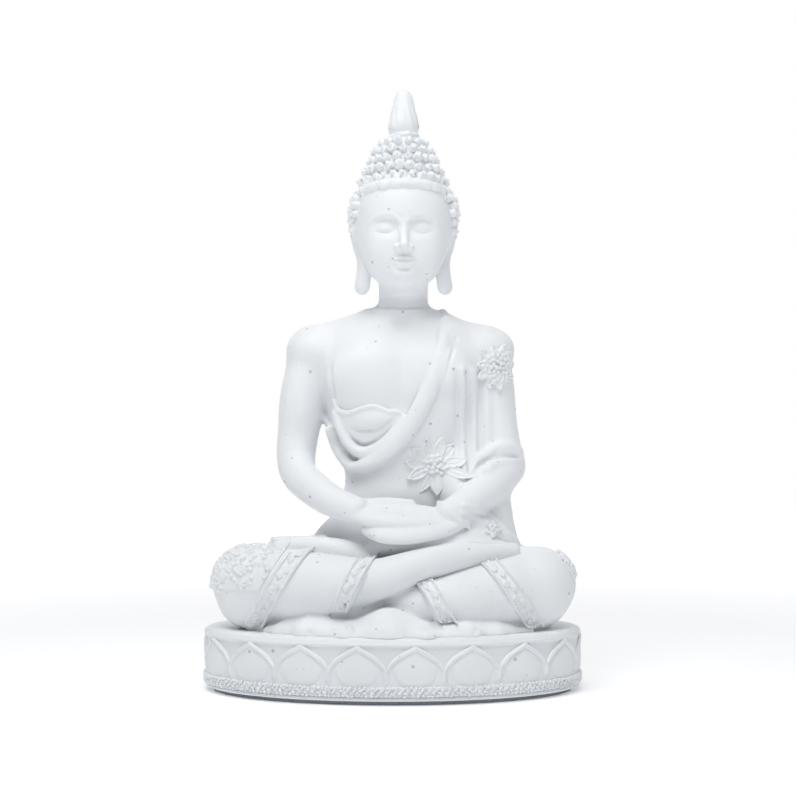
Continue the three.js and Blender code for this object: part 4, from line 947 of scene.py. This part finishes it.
def curl(c, n, L, r=1.4):
    """A bead of hair with a twisted tip."""
    c = np.array(c, float); n = np.array(n, float) / np.linalg.norm(n)
    a = np.cross(n, (0, 0, 1.0)); a /= np.linalg.norm(a) + 1e-9
    b = np.cross(n, a)
    w = RNG.uniform(0, 6.28)
    r = r * RNG.uniform(0.82, 1.12)
    c = c + n * RNG.uniform(-0.15, 0.4)
    g2.add(ell(c, (r, r, r)), 0.12, L)
    P = []
    for i in range(7):
        th = w + i * 0.95; q = r * (0.78 - 0.11 * i)
        p = c + n * (r * (0.42 + 0.11 * i)) + a * q * math.cos(th) + b * q * math.sin(th)
        P.append([*p, r * 0.36])
    g2.add(chain(P, 9), 0.12, L)


step = 2.9
lat = -62.0
rows = 0
while lat < 70:
    phi = math.radians(lat)
    rad = math.cos(phi) * 16.4
    n = max(1, int(round(2 * math.pi * rad / step)))
    for i in range(n):
        th = 2 * math.pi * (i + 0.5 * (rows % 2)) / n
        d = np.array([math.cos(phi) * math.cos(th), math.cos(phi) * math.sin(th), math.sin(phi)])
        p = np.array([HX + HC[0], HC[1], HC[2]]) + d * np.array([HR[0] + 0.35, HR[1] + 0.35, HR[2] + 0.35])
        x, y, z = p[0] - HX, p[1], p[2]
        if z > 155.2 and math.hypot(x, y - 4.5) < 12.6:
            continue
        if y < 1.8:
            if poly2(np.array([x]), np.array([z]), FACE)[0] < 1.0:
                continue
            if z < 138.6 + max(0, 1.5 - y) * 0.6:
                continue
        low = 132.5 - min(1, max(0, (y - 2) / 6)) * 6.0
        if z < low:
            continue
        if 1.6 < y < 9.6 and z < 146.8 and abs(x) > 11:
            continue
        curl(p, d / np.array(HR), HAIR)
    rows += 1
    lat += math.degrees(step * 0.86 / 15.6)
rows = 0
for z in (154.6, 157.7, 160.8, 163.7, 166.3):
    r = float(np.interp(z, knot[0], knot[1])) + 0.45
    n = max(6, int(round(2 * math.pi * r / 3.0)))
    for i in range(n):
        th = 2 * math.pi * (i + 0.5 * (rows % 2) + RNG.uniform(-0.12, 0.12)) / n + 0.1
        curl((HX + r * math.cos(th), 4.5 + r * math.sin(th), z), (math.cos(th), math.sin(th), 0.45), TOP, 1.48)
    rows += 1

# smooth front roll of hair, with a lightly rippled edge
g2.add(chain(ROLL, 70), 0.3, BAND)

# collar and flame finial
P = [[HX + 4.1 * math.cos(a), 4.5 + 4.1 * math.sin(a), 168.9 + 0.5 * math.cos(a), 0.8 + 0.16 * math.sin(a * 9)]
     for a in np.linspace(0, 2 * math.pi, 40)]
g2.add(chain(P, 60), 0.4, TOP)
flame = table([(168.4, 3.9), (169.6, 4.1), (171.2, 4.6), (172.6, 4.8), (174.4, 4.5), (176.6, 3.95), (178.8, 3.4),
               (180.8, 2.95), (182.4, 2.4), (183.5, 1.4), (183.95, 0.05)])


def flame_fn(X, Y, Z):
    x, y = X - HX, Y - 4.5
    th = np.arctan2(y, x) + (Z - 169) * 0.035
    r = np.sqrt(x * x + y * y)
    R = np.interp(Z, flame[0], flame[1])
    flute = 0.34 * np.clip((180.5 - Z) / 6, 0, 1) * np.clip((Z - 170) / 2, 0, 1)
    return np.maximum((r - R + flute * (np.abs(np.sin(th * 7)) ** 0.6 - 0.6)) * 0.9, np.maximum(168.4 - Z, Z - 183.95))


g2.add((flame_fn, (HX - 5, -1, 168.4), (HX + 5, 10, 184)), 0.3, FIN)
HNAMES = {HEAD: ("calm_face", "head"), L_EAR: ("long_left_ear", "left_ear"), R_EAR: ("long_right_ear", "right_ear"),
          HAIR: ("curled_hair", "hair_cap"), TOP: ("curled_topknot", "topknot"), BAND: ("front_hair_roll", "hair_band"),
          FIN: ("fluted_flame_finial", "flame_finial")}
g2.F[:, :, 0] = np.maximum(g2.F[:, :, 0], 0.2)
emit(g2, HNAMES, 1)


# ------------------------------------------------------------ ornaments
def wrap(name, rep, c, nrm, half, fn, h=0.17, top=3.4, field=None):
    """A relief sculpted flat in (u, v, w) and laid over the figure's skin."""
    field = field or g
    n = np.array(nrm, float); n /= np.linalg.norm(n)
    U = np.cross((0, 0, 1.0), n); U /= np.linalg.norm(U)
    Vv = np.cross(n, U)
    gg = Grid((-half, -half, -1.1), (half, half, top), h)
    s = (slice(None),) * 3
    gg.F[:] = np.broadcast_to(fn(*gg.xyz(s)), gg.F.shape)
    gg.F[:, :, 0] = np.maximum(gg.F[:, :, 0], 0.1)
    V, Q, _ = gg.nets()
    V = relax(V, Q, 1, 0.4)
    c = np.array(c, float)
    # height of the skin under every (u, v), by marching down the field
    P = c + V[:, :1] * U + V[:, 1:2] * Vv
    hgt = np.full(len(V), 9.0)
    for _ in range(26):
        d = field.sample(P + hgt[:, None] * n)
        hgt = hgt - np.clip(d, -0.6, 1.6) * 0.8
    # smooth it so that thin folds below don't tear the ornament
    B = np.stack([np.ones(len(V)), V[:, 0], V[:, 1], V[:, 0] ** 2, V[:, 0] * V[:, 1], V[:, 1] ** 2,
                  V[:, 0] ** 3, V[:, 1] ** 3, V[:, 0] ** 2 * V[:, 1], V[:, 0] * V[:, 1] ** 2], 1)
    ok = np.hypot(V[:, 0], V[:, 1]) < half
    co = np.linalg.lstsq(B[ok], np.clip(hgt[ok], -6, 6), rcond=None)[0]
    hs = B @ co
    W = P + (hs + V[:, 2])[:, None] * n
    print("ornament", name, len(Q))
    return make(name, W, Q[:, ::-1] if np.linalg.det(np.stack([U, Vv, n])) < 0 else Q, None, rep=rep)


def leaf(X, Y, Z, a, p0, p1, w, z0, th, lift=0.0):
    ca, sa = math.cos(a), math.sin(a)
    p = X * ca + Y * sa; q = -X * sa + Y * ca
    pc, l = (p0 + p1) / 2, (p1 - p0) / 2
    t = (p - pc) / l
    env = np.maximum(1 - np.abs(t + 0.12) ** 2.1 * np.where(t > -0.12, 0.80, 1.3), 0)
    f2 = np.abs(q) - w * env
    f2 = np.where(np.abs(t) > 1, np.maximum(f2, (np.abs(t) - 1) * l), f2) * 0.8
    mid = z0 + lift * np.clip(t, -1, 1)
    up = th * (0.55 + 0.55 * np.exp(-((f2 + 0.28) / 0.2) ** 2) + 0.4 * np.exp(-(q / 0.17) ** 2))
    return np.maximum(f2, np.maximum(Z - mid - up, -1.0 - Z))


def bead(X, Y, Z, c, r):
    return np.sqrt((X - c[0]) ** 2 + (Y - c[1]) ** 2 + ((Z - c[2]) * 0.85) ** 2) - r


def smin(a, b, k):
    h = np.maximum(k - np.abs(a - b), 0) / k
    return np.minimum(a, b) - h * h * k / 4


def flower_fn(petals, R, heart, nb, rb, seed, w=1.55, inner=0.0):
    rg = np.random.default_rng(seed)
    info = [(2 * math.pi * (k + rg.uniform(-0.1, 0.1)) / petals + 0.2, R * rg.uniform(0.92, 1.03), k % 2) for k in range(petals)]
    beads = []
    for i in range(nb):
        rr = heart * math.sqrt((i + 0.4) / nb); th = i * 2.39996 + seed
        beads.append((rr * math.cos(th), rr * math.sin(th), 1.35 - 0.5 * (rr / heart) ** 2 + rg.uniform(-0.12, 0.12), rb * rg.uniform(0.85, 1.15)))

    def fn(X, Y, Z):
        D = np.maximum(np.sqrt(X * X + Y * Y) - heart * 1.02, np.maximum(Z - 1.0, -1.0 - Z))
        for a, L, low in info:
            D = np.minimum(D, leaf(X, Y, Z, a, heart * 0.5, L, w, 0.15 if low else 0.5, 0.62, 0.12))
        if inner:
            for k in range(petals):
                a = 2 * math.pi * (k + 0.5) / petals
                D = np.minimum(D, leaf(X, Y, Z, a, heart * 0.4, inner, w * 0.62, 0.85, 0.45, 0.1))
        for x, y, z, r in beads:
            D = smin(D, bead(X, Y, Z, (x, y, z), r), 0.1)
        return D
    return fn


bf = (12.3, g.front(12.3, 67.6) - 0.1, 67.6)
wrap("belly_flower_relief", "belly_flower", (bf[0], bf[1], bf[2]), (0.36, -0.93, 0.03), 9.9,
     flower_fn(11, 9.5, 3.2, 19, 0.7, 3, 1.8))
sf = (32.0, g.front(32.0, 97.6, -1), 97.6)
wrap("shoulder_flower_relief", "shoulder_flower", sf, (0.42, -0.9, 0.1), 8.4,
     flower_fn(11, 7.5, 5.2, 46, 0.68, 5, 1.5, 6.2), top=3.4)
cf = (29.8, g.front(29.8, 48.4, -9), 48.4)
wrap("sleeve_flower_relief", "sleeve_flower", cf, (0.3, -0.85, 0.4), 3.9, flower_fn(6, 3.5, 1.7, 9, 0.45, 9, 0.9))


# brocade bands and knee reliefs: raised on the skin of the legs
def relief(name, rep, lo, hi, fn, h=0.2):
    r = Grid(lo, hi, h)
    X, Y, Z = np.meshgrid(*r.ax, indexing="ij")
    P = np.stack([X.ravel(), Y.ravel(), Z.ravel()], 1)
    base = g.sample(P).reshape(X.shape).astype(f32)
    r.F[:] = fn(base, X, Y, Z, r)
    for ax in range(3):
        a = [slice(None)] * 3
        for e in (0, -1):
            a[ax] = e; r.F[tuple(a)] = np.maximum(r.F[tuple(a)], 0.1)
    V, Q, _ = r.nets()
    V = relax(V, Q, 1, 0.35)
    print("relief", name, len(Q))
    return make(name, V, Q, r.grad(V, h), rep=rep)


def band_fn(at, nrm, along, width, zmin, zmax):
    at = np.array(at); n = np.array(nrm, float); n /= np.linalg.norm(n)
    a = np.array(along, float); a -= n * (a @ n); a /= np.linalg.norm(a)
    b = np.cross(n, a)

    def fn(base, X, Y, Z, r):
        dx, dy, dz = X - at[0], Y - at[1], Z - at[2]
        u = dx * n[0] + dy * n[1] + dz * n[2]
        p = dx * a[0] + dy * a[1] + dz * a[2]
        q = dx * b[0] + dy * b[1] + dz * b[2]
        # wave along the band, measured round the leg
        s = p + 0.25 * q
        e = width / 2 - np.abs(u)
        rim = np.exp(-((e - 0.45) / 0.32) ** 2)
        c = (s / 2.5) % 1.0 - 0.5
        k = np.floor(s / 2.5)
        off = 0.28 * np.where(k % 2 == 0, 1, -1)
        rr = np.hypot(c * 2.5, u - off * width * 0.35)
        ros = np.exp(-((rr - 0.62) / 0.24) ** 2) * 0.9 + np.exp(-(rr / 0.3) ** 2) * 1.1
        vine = np.exp(-((u - 0.26 * width * np.sin(s * math.pi / 2.5)) / 0.22) ** 2) * 0.7
        t = 0.42 + 0.8 * rim + np.where(e > 0.9, 0.62 * np.maximum(ros, vine), 0)
        f = np.maximum(np.maximum(base - t, -(e) * 1.0), zmin + 0.25 * np.sin(u * 1.7) - Z)
        f = np.maximum(f, Z - zmax - u * 0.35)
        f = np.maximum(f, -(base + 1.3))
        return np.maximum(f, Y - 1.0)
    return fn


BANDS = (
    ("right_shin_brocade", "right_shin_band", (-11.4, -22, 32.6), (0.9, -0.12, -0.43), (-0.43, 0, -0.9), 4.6,
     (-23, -33, 21.5), (-1.5, -8, 43.5), 25.4, 41.3),
    ("right_knee_brocade", "right_knee_band", (-33.6, -18, 31.5), (0.845, -0.1, -0.53), (-0.53, 0, -0.845), 5.2,
     (-47, -33, 19.5), (-22, 0, 45), 20.4, 43.0),
    ("left_shin_brocade", "left_shin_band", (12.4, -24, 28.2), (0.88, 0.1, 0.47), (0.47, 0, -0.88), 4.6,
     (3, -33, 20.5), (22, -10, 38), 22.6, 34.4),
    ("left_knee_brocade", "left_knee_band", (35.2, -19, 29.6), (0.82, 0.1, 0.58), (0.58, 0, -0.82), 5.0,
     (23, -33, 19.5), (48, 0, 45), 20.2, 40.0),
)
for name, rep, at, nrm, along, wd, lo, hi, zm, zx in BANDS:
    relief(name, rep, lo, hi, band_fn(at, nrm, along, wd, zm, zx))


def encrust(region, c0, rad, n, seed, rmin=0.5, rmax=0.95):
    def fn(base, X, Y, Z, r):
        rg = np.random.default_rng(seed)
        m = region(X, Y, Z)
        D = np.maximum(np.maximum(base - 0.3, m), -(base + 1.2))
        pts = []
        tries = 0
        while len(pts) < n and tries < 30:
            tries += 1
            P = np.array(c0) + rg.normal(size=(n * 3, 3)) * rad
            P = g.snap(P, 8)
            mm = region(P[:, 0], P[:, 1], P[:, 2])
            for p, v in zip(P, mm):
                if v < -0.5 and abs(g.sample(p[None])[0]) < 0.15 and all(np.linalg.norm(p - q) > 1.15 for q in pts):
                    pts.append(p)
                if len(pts) >= n:
                    break
        N = g.grad(np.array(pts))
        r.F[:] = D
        for i, (p, nn) in enumerate(zip(pts, N)):
            q = rg.uniform(rmin, rmax)
            r.add(ell(p + nn * 0.35, (q, q, q)), 0.15)
            if i % 4 == 0:   # a small rosette
                a = np.cross(nn, (0, 0, 1.0)); a /= np.linalg.norm(a); b = np.cross(nn, a)
                for k in range(6):
                    t = k * math.pi / 3 + i
                    c = p + nn * 0.45 + (a * math.cos(t) + b * math.sin(t)) * 1.15
                    r.add(ell(c, (0.56, 0.56, 0.56)), 0.12)
        return r.F
    return fn


def reg_r(X, Y, Z):
    cut = (X + 36.2) * 0.845 + (Z - 35) * -0.53      # outside the knee band
    return np.maximum(np.maximum(cut, 31.0 - Z + 0.0 * X), Y - 1.5)


def reg_l(X, Y, Z):
    return np.sqrt((X - 51) ** 2 + ((Y + 9) / 1.2) ** 2 + (Z - 37) ** 2) - 5.0


relief("right_knee_encrusted", "right_knee_ornament", (-56, -25, 27), (-30, 4, 46.5), encrust(reg_r, (-46, -12, 38), 6.5, 150, 4), 0.22)
relief("left_knee_encrusted", "left_knee_ornament", (43, -19, 29), (57, 1, 45), encrust(reg_l, (51, -10, 37), 3.5, 34, 8, 0.4, 0.75), 0.22)


# ------------------------------------------------------------ pedestal
def oval(t, off):
    x, y = BA * np.sin(t), -BB * np.cos(t)
    nx, ny = x / BA**2, y / BB**2
    l = np.hypot(nx, ny)
    return x + nx / l * off, y + ny / l * off


_t = np.linspace(0, 2 * math.pi, 6001)
_x, _y = oval(_t, 0)
_s = np.concatenate([[0], np.cumsum(np.hypot(np.diff(_x), np.diff(_y)))])
OLEN = _s[-1]


def at_len(s):
    return np.interp(np.mod(s, OLEN), _s, _t)


def ring_mesh(profile, n):
    """Rows of [offset, z] carried round the oval, closed by fans at both ends."""
    s = np.arange(n) / n * OLEN
    t = at_len(s)
    V, Q, T = [], [], []
    for off, z in profile:
        x, y = oval(t, off)
        V.append(np.stack([x, y, np.full(n, z)], 1))
    m = len(profile)
    V = np.concatenate(V)
    i = np.arange(n); j = (i + 1) % n
    for r in range(m - 1):
        Q.append(np.stack([r * n + i, r * n + j, (r + 1) * n + j, (r + 1) * n + i], 1))
    c0 = len(V); V = np.vstack([V, [0, 0, profile[0][1]], [0, 0, profile[-1][1]]])
    T = np.concatenate([np.stack([np.full(n, c0), j, i], 1),
                        np.stack([np.full(n, c0 + 1), (m - 1) * n + i, (m - 1) * n + j], 1)])
    return V, np.concatenate(Q), T


NR = 720
bev = lambda o0, z0, o1, z1, k=6: [(o0 + (o1 - o0) * (1 - math.cos(a)), z0 + (z1 - z0) * math.sin(a))
                                   for a in np.linspace(0, math.pi / 2, k)]
PROF = [(-1.5, 1.3), (-0.9, 1.32), (-0.62, 1.5), (-0.55, 1.8), (-0.6, 2.15), (-0.85, 2.35), (-1.5, 2.42), (-1.55, 3.5),
        (-1.55, 5.2), (-1.5, 5.6), (-1.25, 6.5), (-1.15, 9), (-1.1, 12), (-1.05, 15), (-1.0, 16.1), (-0.8, 16.5),
        (-0.4, 16.75), (-0.28, 17.0), (-0.26, 17.4)] + bev(-0.26, 17.4, -1.9, BTOP) + [
        (-2.6, BTOP), (-6, BTOP - 0.02), (-14, BTOP - 0.02), (-24, BTOP)]
V, Q, T = ring_mesh(PROF, NR)
V[:, 2] += np.where(V[:, 2] > 18.6, 0.06 * np.sin(V[:, 0] * 0.9) * np.sin(V[:, 1] * 0.7 + 1), 0) * (np.abs(V[:, 0]) > 0.01)
make("pedestal_drum", V, Q, None, rep="base_pedestal", tris=T)

# petals: a pointed arch with a rounded rim round a swelling tongue; the rims
# of two neighbours run together into one stem
PZ0, PZ1 = 5.15, 17.0
HALF = OLEN / 18 / 2
nv, nu = ((84, 76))
ARCH = table([(5, 1.0), (10.2, 1.0), (10.8, 0.98), (11.6, 0.93), (12.6, 0.835), (13.6, 0.70), (14.5, 0.54), (15.3, 0.37),
              (16.0, 0.215), (16.6, 0.09), (17.0, 0.012)])
TONGUE = smooth_poly([(0, 5.15), (2.4, 5.35), (4.3, 6.1), (5.6, 7.5), (6.25, 9.2), (6.2, 10.6), (5.3, 11.9), (4.0, 12.95),
                      (2.5, 13.85), (1.1, 14.7), (0, 15.3), (-1.1, 14.7), (-2.5, 13.85), (-4.0, 12.95), (-5.3, 11.9),
                      (-6.2, 10.6), (-6.25, 9.2), (-5.6, 7.5), (-4.3, 6.1), (-2.4, 5.35)], 90)
vv = PZ0 + (PZ1 - PZ0) * np.linspace(0, 1, nv) ** 0.9
ww = np.interp(vv, ARCH[0], ARCH[1]) * (HALF - 0.03)
OUTL = [(w, z) for z, w in zip(vv, ww)]
OUTL = [(OUTL[0][0], 2.0)] + OUTL + [(-a, b) for a, b in OUTL[::-1]] + [(-OUTL[0][0], 2.0)]
for k in range(18):
    s0 = (k + 0.5) / 18 * OLEN - 1.8
    uu = np.linspace(-1, 1, nu)
    uu = 0.72 * uu + 0.28 * uu ** 3 + 0.0
    uu = np.sign(uu) * (1 - (1 - np.abs(uu)) ** 1.25)
    A = uu[None, :] * ww[:, None]
    Z = vv[:, None] + 0 * A
    d = np.maximum(-poly2(A, Z, OUTL), 0)
    tg = -poly2(A, Z, TONGUE)
    c = np.interp(Z, [9.6, 11.6], [0.05, 0.72])
    wd = np.interp(Z, [9.0, 11.6], [0.78, 0.66])
    rim = 0.62 * np.exp(-(np.abs(d - c) / wd) ** 3) * np.interp(Z, [5.1, 6.2, 8.0], [0.25, 0.7, 1.0])
    tongue = 0.34 * (1 - np.exp(-np.maximum(tg, 0) / 0.45)) + 0.3 * (1 - np.exp(-np.maximum(tg - 0.4, 0) / 2.2))
    rel = -0.72 + np.maximum(rim, tongue) + 0.08 * np.minimum(rim, tongue)
    # small pit at the foot of each stem
    rel = rel - 0.45 * np.exp(-(((np.abs(A) - HALF) / 0.9) ** 2 + ((Z - 6.1) / 0.8) ** 2))
    rel = rel + 0.035 * np.sin(A * 1.3 + k) * np.sin(Z * 1.1 + k * 2)
    # the rim leans out a little toward its point
    rel = rel + 0.12 * np.clip((Z - 12) / 5, 0, 1)
    t = at_len(s0 + A)
    x, y = oval(t, rel)
    F = np.stack([x, y, Z], -1).reshape(-1, 3)
    x, y = oval(t, np.full_like(rel, -2.1))
    Bk = np.stack([x, y, Z], -1).reshape(-1, 3)
    V = np.vstack([F, Bk]); o = len(F)
    q = []
    for j in range(nv - 1):
        i = np.arange(nu - 1)
        a = j * nu + i
        q.append(np.stack([a, a + 1, a + nu + 1, a + nu], 1))
        q.append(np.stack([a, a + nu, a + nu + 1, a + 1], 1) + o)
    i = np.arange(nu - 1)
    q.append(np.stack([i, i + o, i + 1 + o, i + 1], 1))
    a = (nv - 1) * nu + i
    q.append(np.stack([a, a + 1, a + 1 + o, a + o], 1))
    j = np.arange(nv - 1) * nu
    q.append(np.stack([j, j + nu, j + nu + o, j + o], 1))
    j = j + nu - 1
    q.append(np.stack([j, j + o, j + nu + o, j + nu], 1))
    make("petal_relief_%02d" % (k + 1), V, np.concatenate(q), None, rep="lotus_petal_%02d" % (k + 1))

# braided trim: a flat tape, two rows of seed beads and a plait of leaf-shaped strands
V, Q, T = ring_mesh([(-1.6, 2.5), (-0.7, 2.52), (-0.5, 2.8), (-0.42, 3.9), (-0.5, 5.0), (-0.7, 5.3), (-1.6, 5.35)], 300)
TV, TQ, TT3 = [V], [Q], [T]
count = len(V)


def blob(c, ax, r, nu=8, nw=6):
    """A closed bead: centre, frame rows, radii."""
    global count
    pts = [[0, 0, -1]]
    for i in range(1, nw):
        a = math.pi * i / nw - math.pi / 2
        for j in range(nu):
            b = 2 * math.pi * j / nu
            pts.append([math.cos(a) * math.cos(b), math.cos(a) * math.sin(b), math.sin(a)])
    pts.append([0, 0, 1])
    P = np.array(pts) * np.array(r) @ np.array(ax) + np.array(c)
    q, t = [], []
    for j in range(nu):
        t.append([0, 1 + (j + 1) % nu, 1 + j])
        l = 1 + (nw - 2) * nu
        t.append([l + j, l + (j + 1) % nu, len(pts) - 1])
        for i in range(nw - 2):
            a = 1 + i * nu
            q.append([a + j, a + (j + 1) % nu, a + nu + (j + 1) % nu, a + nu + j])
    TV.append(P); TQ.append(np.array(q) + count); TT3.append(np.array(t) + count)
    count += len(P)


def frame_at(s, off, z):
    t = float(at_len(s)); e = 1e-3
    x, y = oval(t, off)
    x2, y2 = oval(t + e, off)
    tg = np.array([x2 - x, y2 - y, 0]); tg /= np.linalg.norm(tg)
    up = np.array([0, 0, 1.0]); out = np.cross(tg, up)
    return np.array([x, y, z]), tg, up, out


nb = int(OLEN / 1.32)
for i in range(nb):
    s = i / nb * OLEN
    for z, r, ph in ((5.05, 0.5, 0.0), (2.85, 0.46, 0.5)):
        c, tg, up, out = frame_at(s + ph * OLEN / nb + RNG.uniform(-0.12, 0.12), -0.32, z + RNG.uniform(-0.1, 0.1))
        rr = r * RNG.uniform(0.8, 1.15)
        blob(c, [tg, up, out], (rr, rr, rr))
nb = int(OLEN / 1.9)
for i in range(nb):
    s = i / nb * OLEN
    for sg in (-1, 1):
        c, tg, up, out = frame_at(s + (0.8 if sg > 0 else 0) + RNG.uniform(-0.2, 0.2), -0.36 + RNG.uniform(-0.05, 0.14),
                                  3.95 + sg * 0.42 + RNG.uniform(-0.12, 0.12))
        a = sg * (0.55 + RNG.uniform(-0.5, 0.5))
        d = tg * math.cos(a) + up * math.sin(a)
        e = -tg * math.sin(a) + up * math.cos(a)
        blob(c, [d, e, out], (RNG.uniform(0.6, 1.0), RNG.uniform(0.38, 0.52), 0.5))
    c, tg, up, out = frame_at(s + 0.4, -0.2, 3.95 + RNG.uniform(-0.5, 0.5))
    q = RNG.uniform(0.3, 0.48)
    blob(c, [tg, up, out], (q, q, q))
make("braided_trim", np.concatenate(TV), np.concatenate(TQ), None, rep="base_trim", tris=np.concatenate(TT3))


# ------------------------------------------------------------ the rest of the solids
for n, o in frame["nodes"].items():
    if o.hide_render:
        continue
    # the felt pad gets the dark felt, whose colour also stands in for the contact shadow under the base
    m = FELT_WITH_PAINTED_SHADOW if n == "felt_pad" else STEEL if "dowel" in n else STONE
    if len(o.material_slots):
        for s in o.material_slots:
            s.link = "OBJECT"
            s.material = m
    else:
        o.data.materials.append(m)

# ------------------------------------------------------------ floor, light, camera
def floor_mesh():
    nx, ny = 24, 24
    xs = np.linspace(-7, 7, nx); ys = np.linspace(-7, 2.0, ny)
    V = np.array([(x, y, 0.0) for y in ys for x in xs])
    Q = np.array([(j * nx + i, j * nx + i + 1, (j + 1) * nx + i + 1, (j + 1) * nx + i)
                  for j in range(ny - 1) for i in range(nx - 1)])
    me = bpy.data.meshes.new("studio_floor")
    me.from_pydata(V.tolist(), [], Q.tolist())
    o = bpy.data.objects.new("studio_floor", me)
    bpy.context.scene.collection.objects.link(o)
    mat = bpy.data.materials.new("studio_floor")
    nt, bs, tc = nodes_of(mat)
    n = noise(nt, tc, 3, 2)
    nt.links.new(ramp(nt, n, [(0.3, (0.845, 0.85, 0.865)), (0.7, (0.86, 0.865, 0.88))]), bs.inputs["Base Color"])
    bs.inputs["Roughness"].default_value = 0.7
    bs.inputs["Specular IOR Level"].default_value = 0.2
    bs.inputs["Emission Color"].default_value = (1, 1, 1, 1)
    # the sweep glows where it runs out of the lamps' reach, so it stays white to the wall
    ln = nt.nodes.new("ShaderNodeVectorMath"); ln.operation = "LENGTH"
    nt.links.new(tc.outputs["Object"], ln.inputs[0])
    mr = nt.nodes.new("ShaderNodeMapRange")
    for k_, v_ in (("From Min", 0.22), ("From Max", 1.1), ("To Min", 0.22), ("To Max", 0.95)):
        mr.inputs[k_].default_value = v_
    nt.links.new(ln.outputs["Value"], mr.inputs["Value"])
    nt.links.new(mr.outputs[0], bs.inputs["Emission Strength"])
    me.materials.append(mat)


floor_mesh()


def area(name, loc, look, size, power, color=(1, 1, 1)):
    l = bpy.data.lights.new(name, "AREA")
    l.shape = "RECTANGLE"; l.size, l.size_y = size; l.energy = power; l.color = color
    o = bpy.data.objects.new(name, l)
    o.location = loc
    o.rotation_euler = (Vector(look) - Vector(loc)).to_track_quat("-Z", "Y").to_euler()
    bpy.context.scene.collection.objects.link(o)
    return o


area("top_soft", (-0.08, -0.36, 0.82), (0, 0, 0.09), (0.7, 0.55), 5.5, (1.0, 0.998, 0.99))
area("key_front_left", (-0.2, -0.5, 0.5), (0, 0, 0.11), (0.35, 0.35), 0.2, (1.0, 0.995, 0.985))
area("fill_right", (0.7, -0.4, 0.25), (0, 0, 0.08), (0.4, 0.5), 0.22, (0.92, 0.94, 1.0))


def backdrop():
    """A glowing white wall far behind the object."""
    me = bpy.data.meshes.new("backdrop")
    me.from_pydata([(-3, 1.95, -0.2), (3, 1.95, -0.2), (3, 1.95, 3), (-3, 1.95, 3)], [], [(0, 1, 2, 3)])
    o = bpy.data.objects.new("backdrop", me)
    bpy.context.scene.collection.objects.link(o)
    mat = bpy.data.materials.new("backdrop"); mat.use_nodes = True
    nt = mat.node_tree; nt.nodes.clear()
    out = nt.nodes.new("ShaderNodeOutputMaterial"); em = nt.nodes.new("ShaderNodeEmission")
    em.inputs[0].default_value = (1, 1, 1, 1); em.inputs[1].default_value = 1.0
    nt.links.new(em.outputs[0], out.inputs[0])
    me.materials.append(mat)


backdrop()
w = bpy.data.worlds.new("studio")
bpy.context.scene.world = w
w.use_nodes = True
wn = w.node_tree
bg = wn.nodes["Background"]
tcw = wn.nodes.new("ShaderNodeTexCoord")
sw = wn.nodes.new("ShaderNodeSeparateXYZ")
wn.links.new(tcw.outputs["Generated"], sw.inputs[0])
rw = wn.nodes.new("ShaderNodeValToRGB")
for e, (p_, c_) in zip(rw.color_ramp.elements, ((0.0, (0.40, 0.41, 0.47)), (1.0, (0.92, 0.93, 0.96)))):
    e.position = p_; e.color = (*c_, 1)
mw = wn.nodes.new("ShaderNodeMath"); mw.operation = "MULTIPLY_ADD"
mw.inputs[1].default_value = 0.5; mw.inputs[2].default_value = 0.5
wn.links.new(sw.outputs[2], mw.inputs[0]); wn.links.new(mw.outputs[0], rw.inputs[0])
wn.links.new(rw.outputs[0], bg.inputs[0])
bg.inputs[1].default_value = 0.25

cam = bpy.data.cameras.new("camera")
co = bpy.data.objects.new("camera", cam)
bpy.context.scene.collection.objects.link(co)
co.location = (0.0, -0.400, 0.0632)
co.rotation_euler = (math.radians(90), 0, 0)
cam.sensor_width = 36
cam.lens = 36 * 1308 / 796
cam.shift_x = 5.5 / 796
cam.shift_y = 83 / 796
cam.clip_start = 0.02
cam.clip_end = 20
cam.dof.use_dof = False
bpy.context.scene.camera = co
vs = bpy.context.scene.view_settings
vs.view_transform = "Standard"
vs.look = "None"
vs.exposure = 0.0
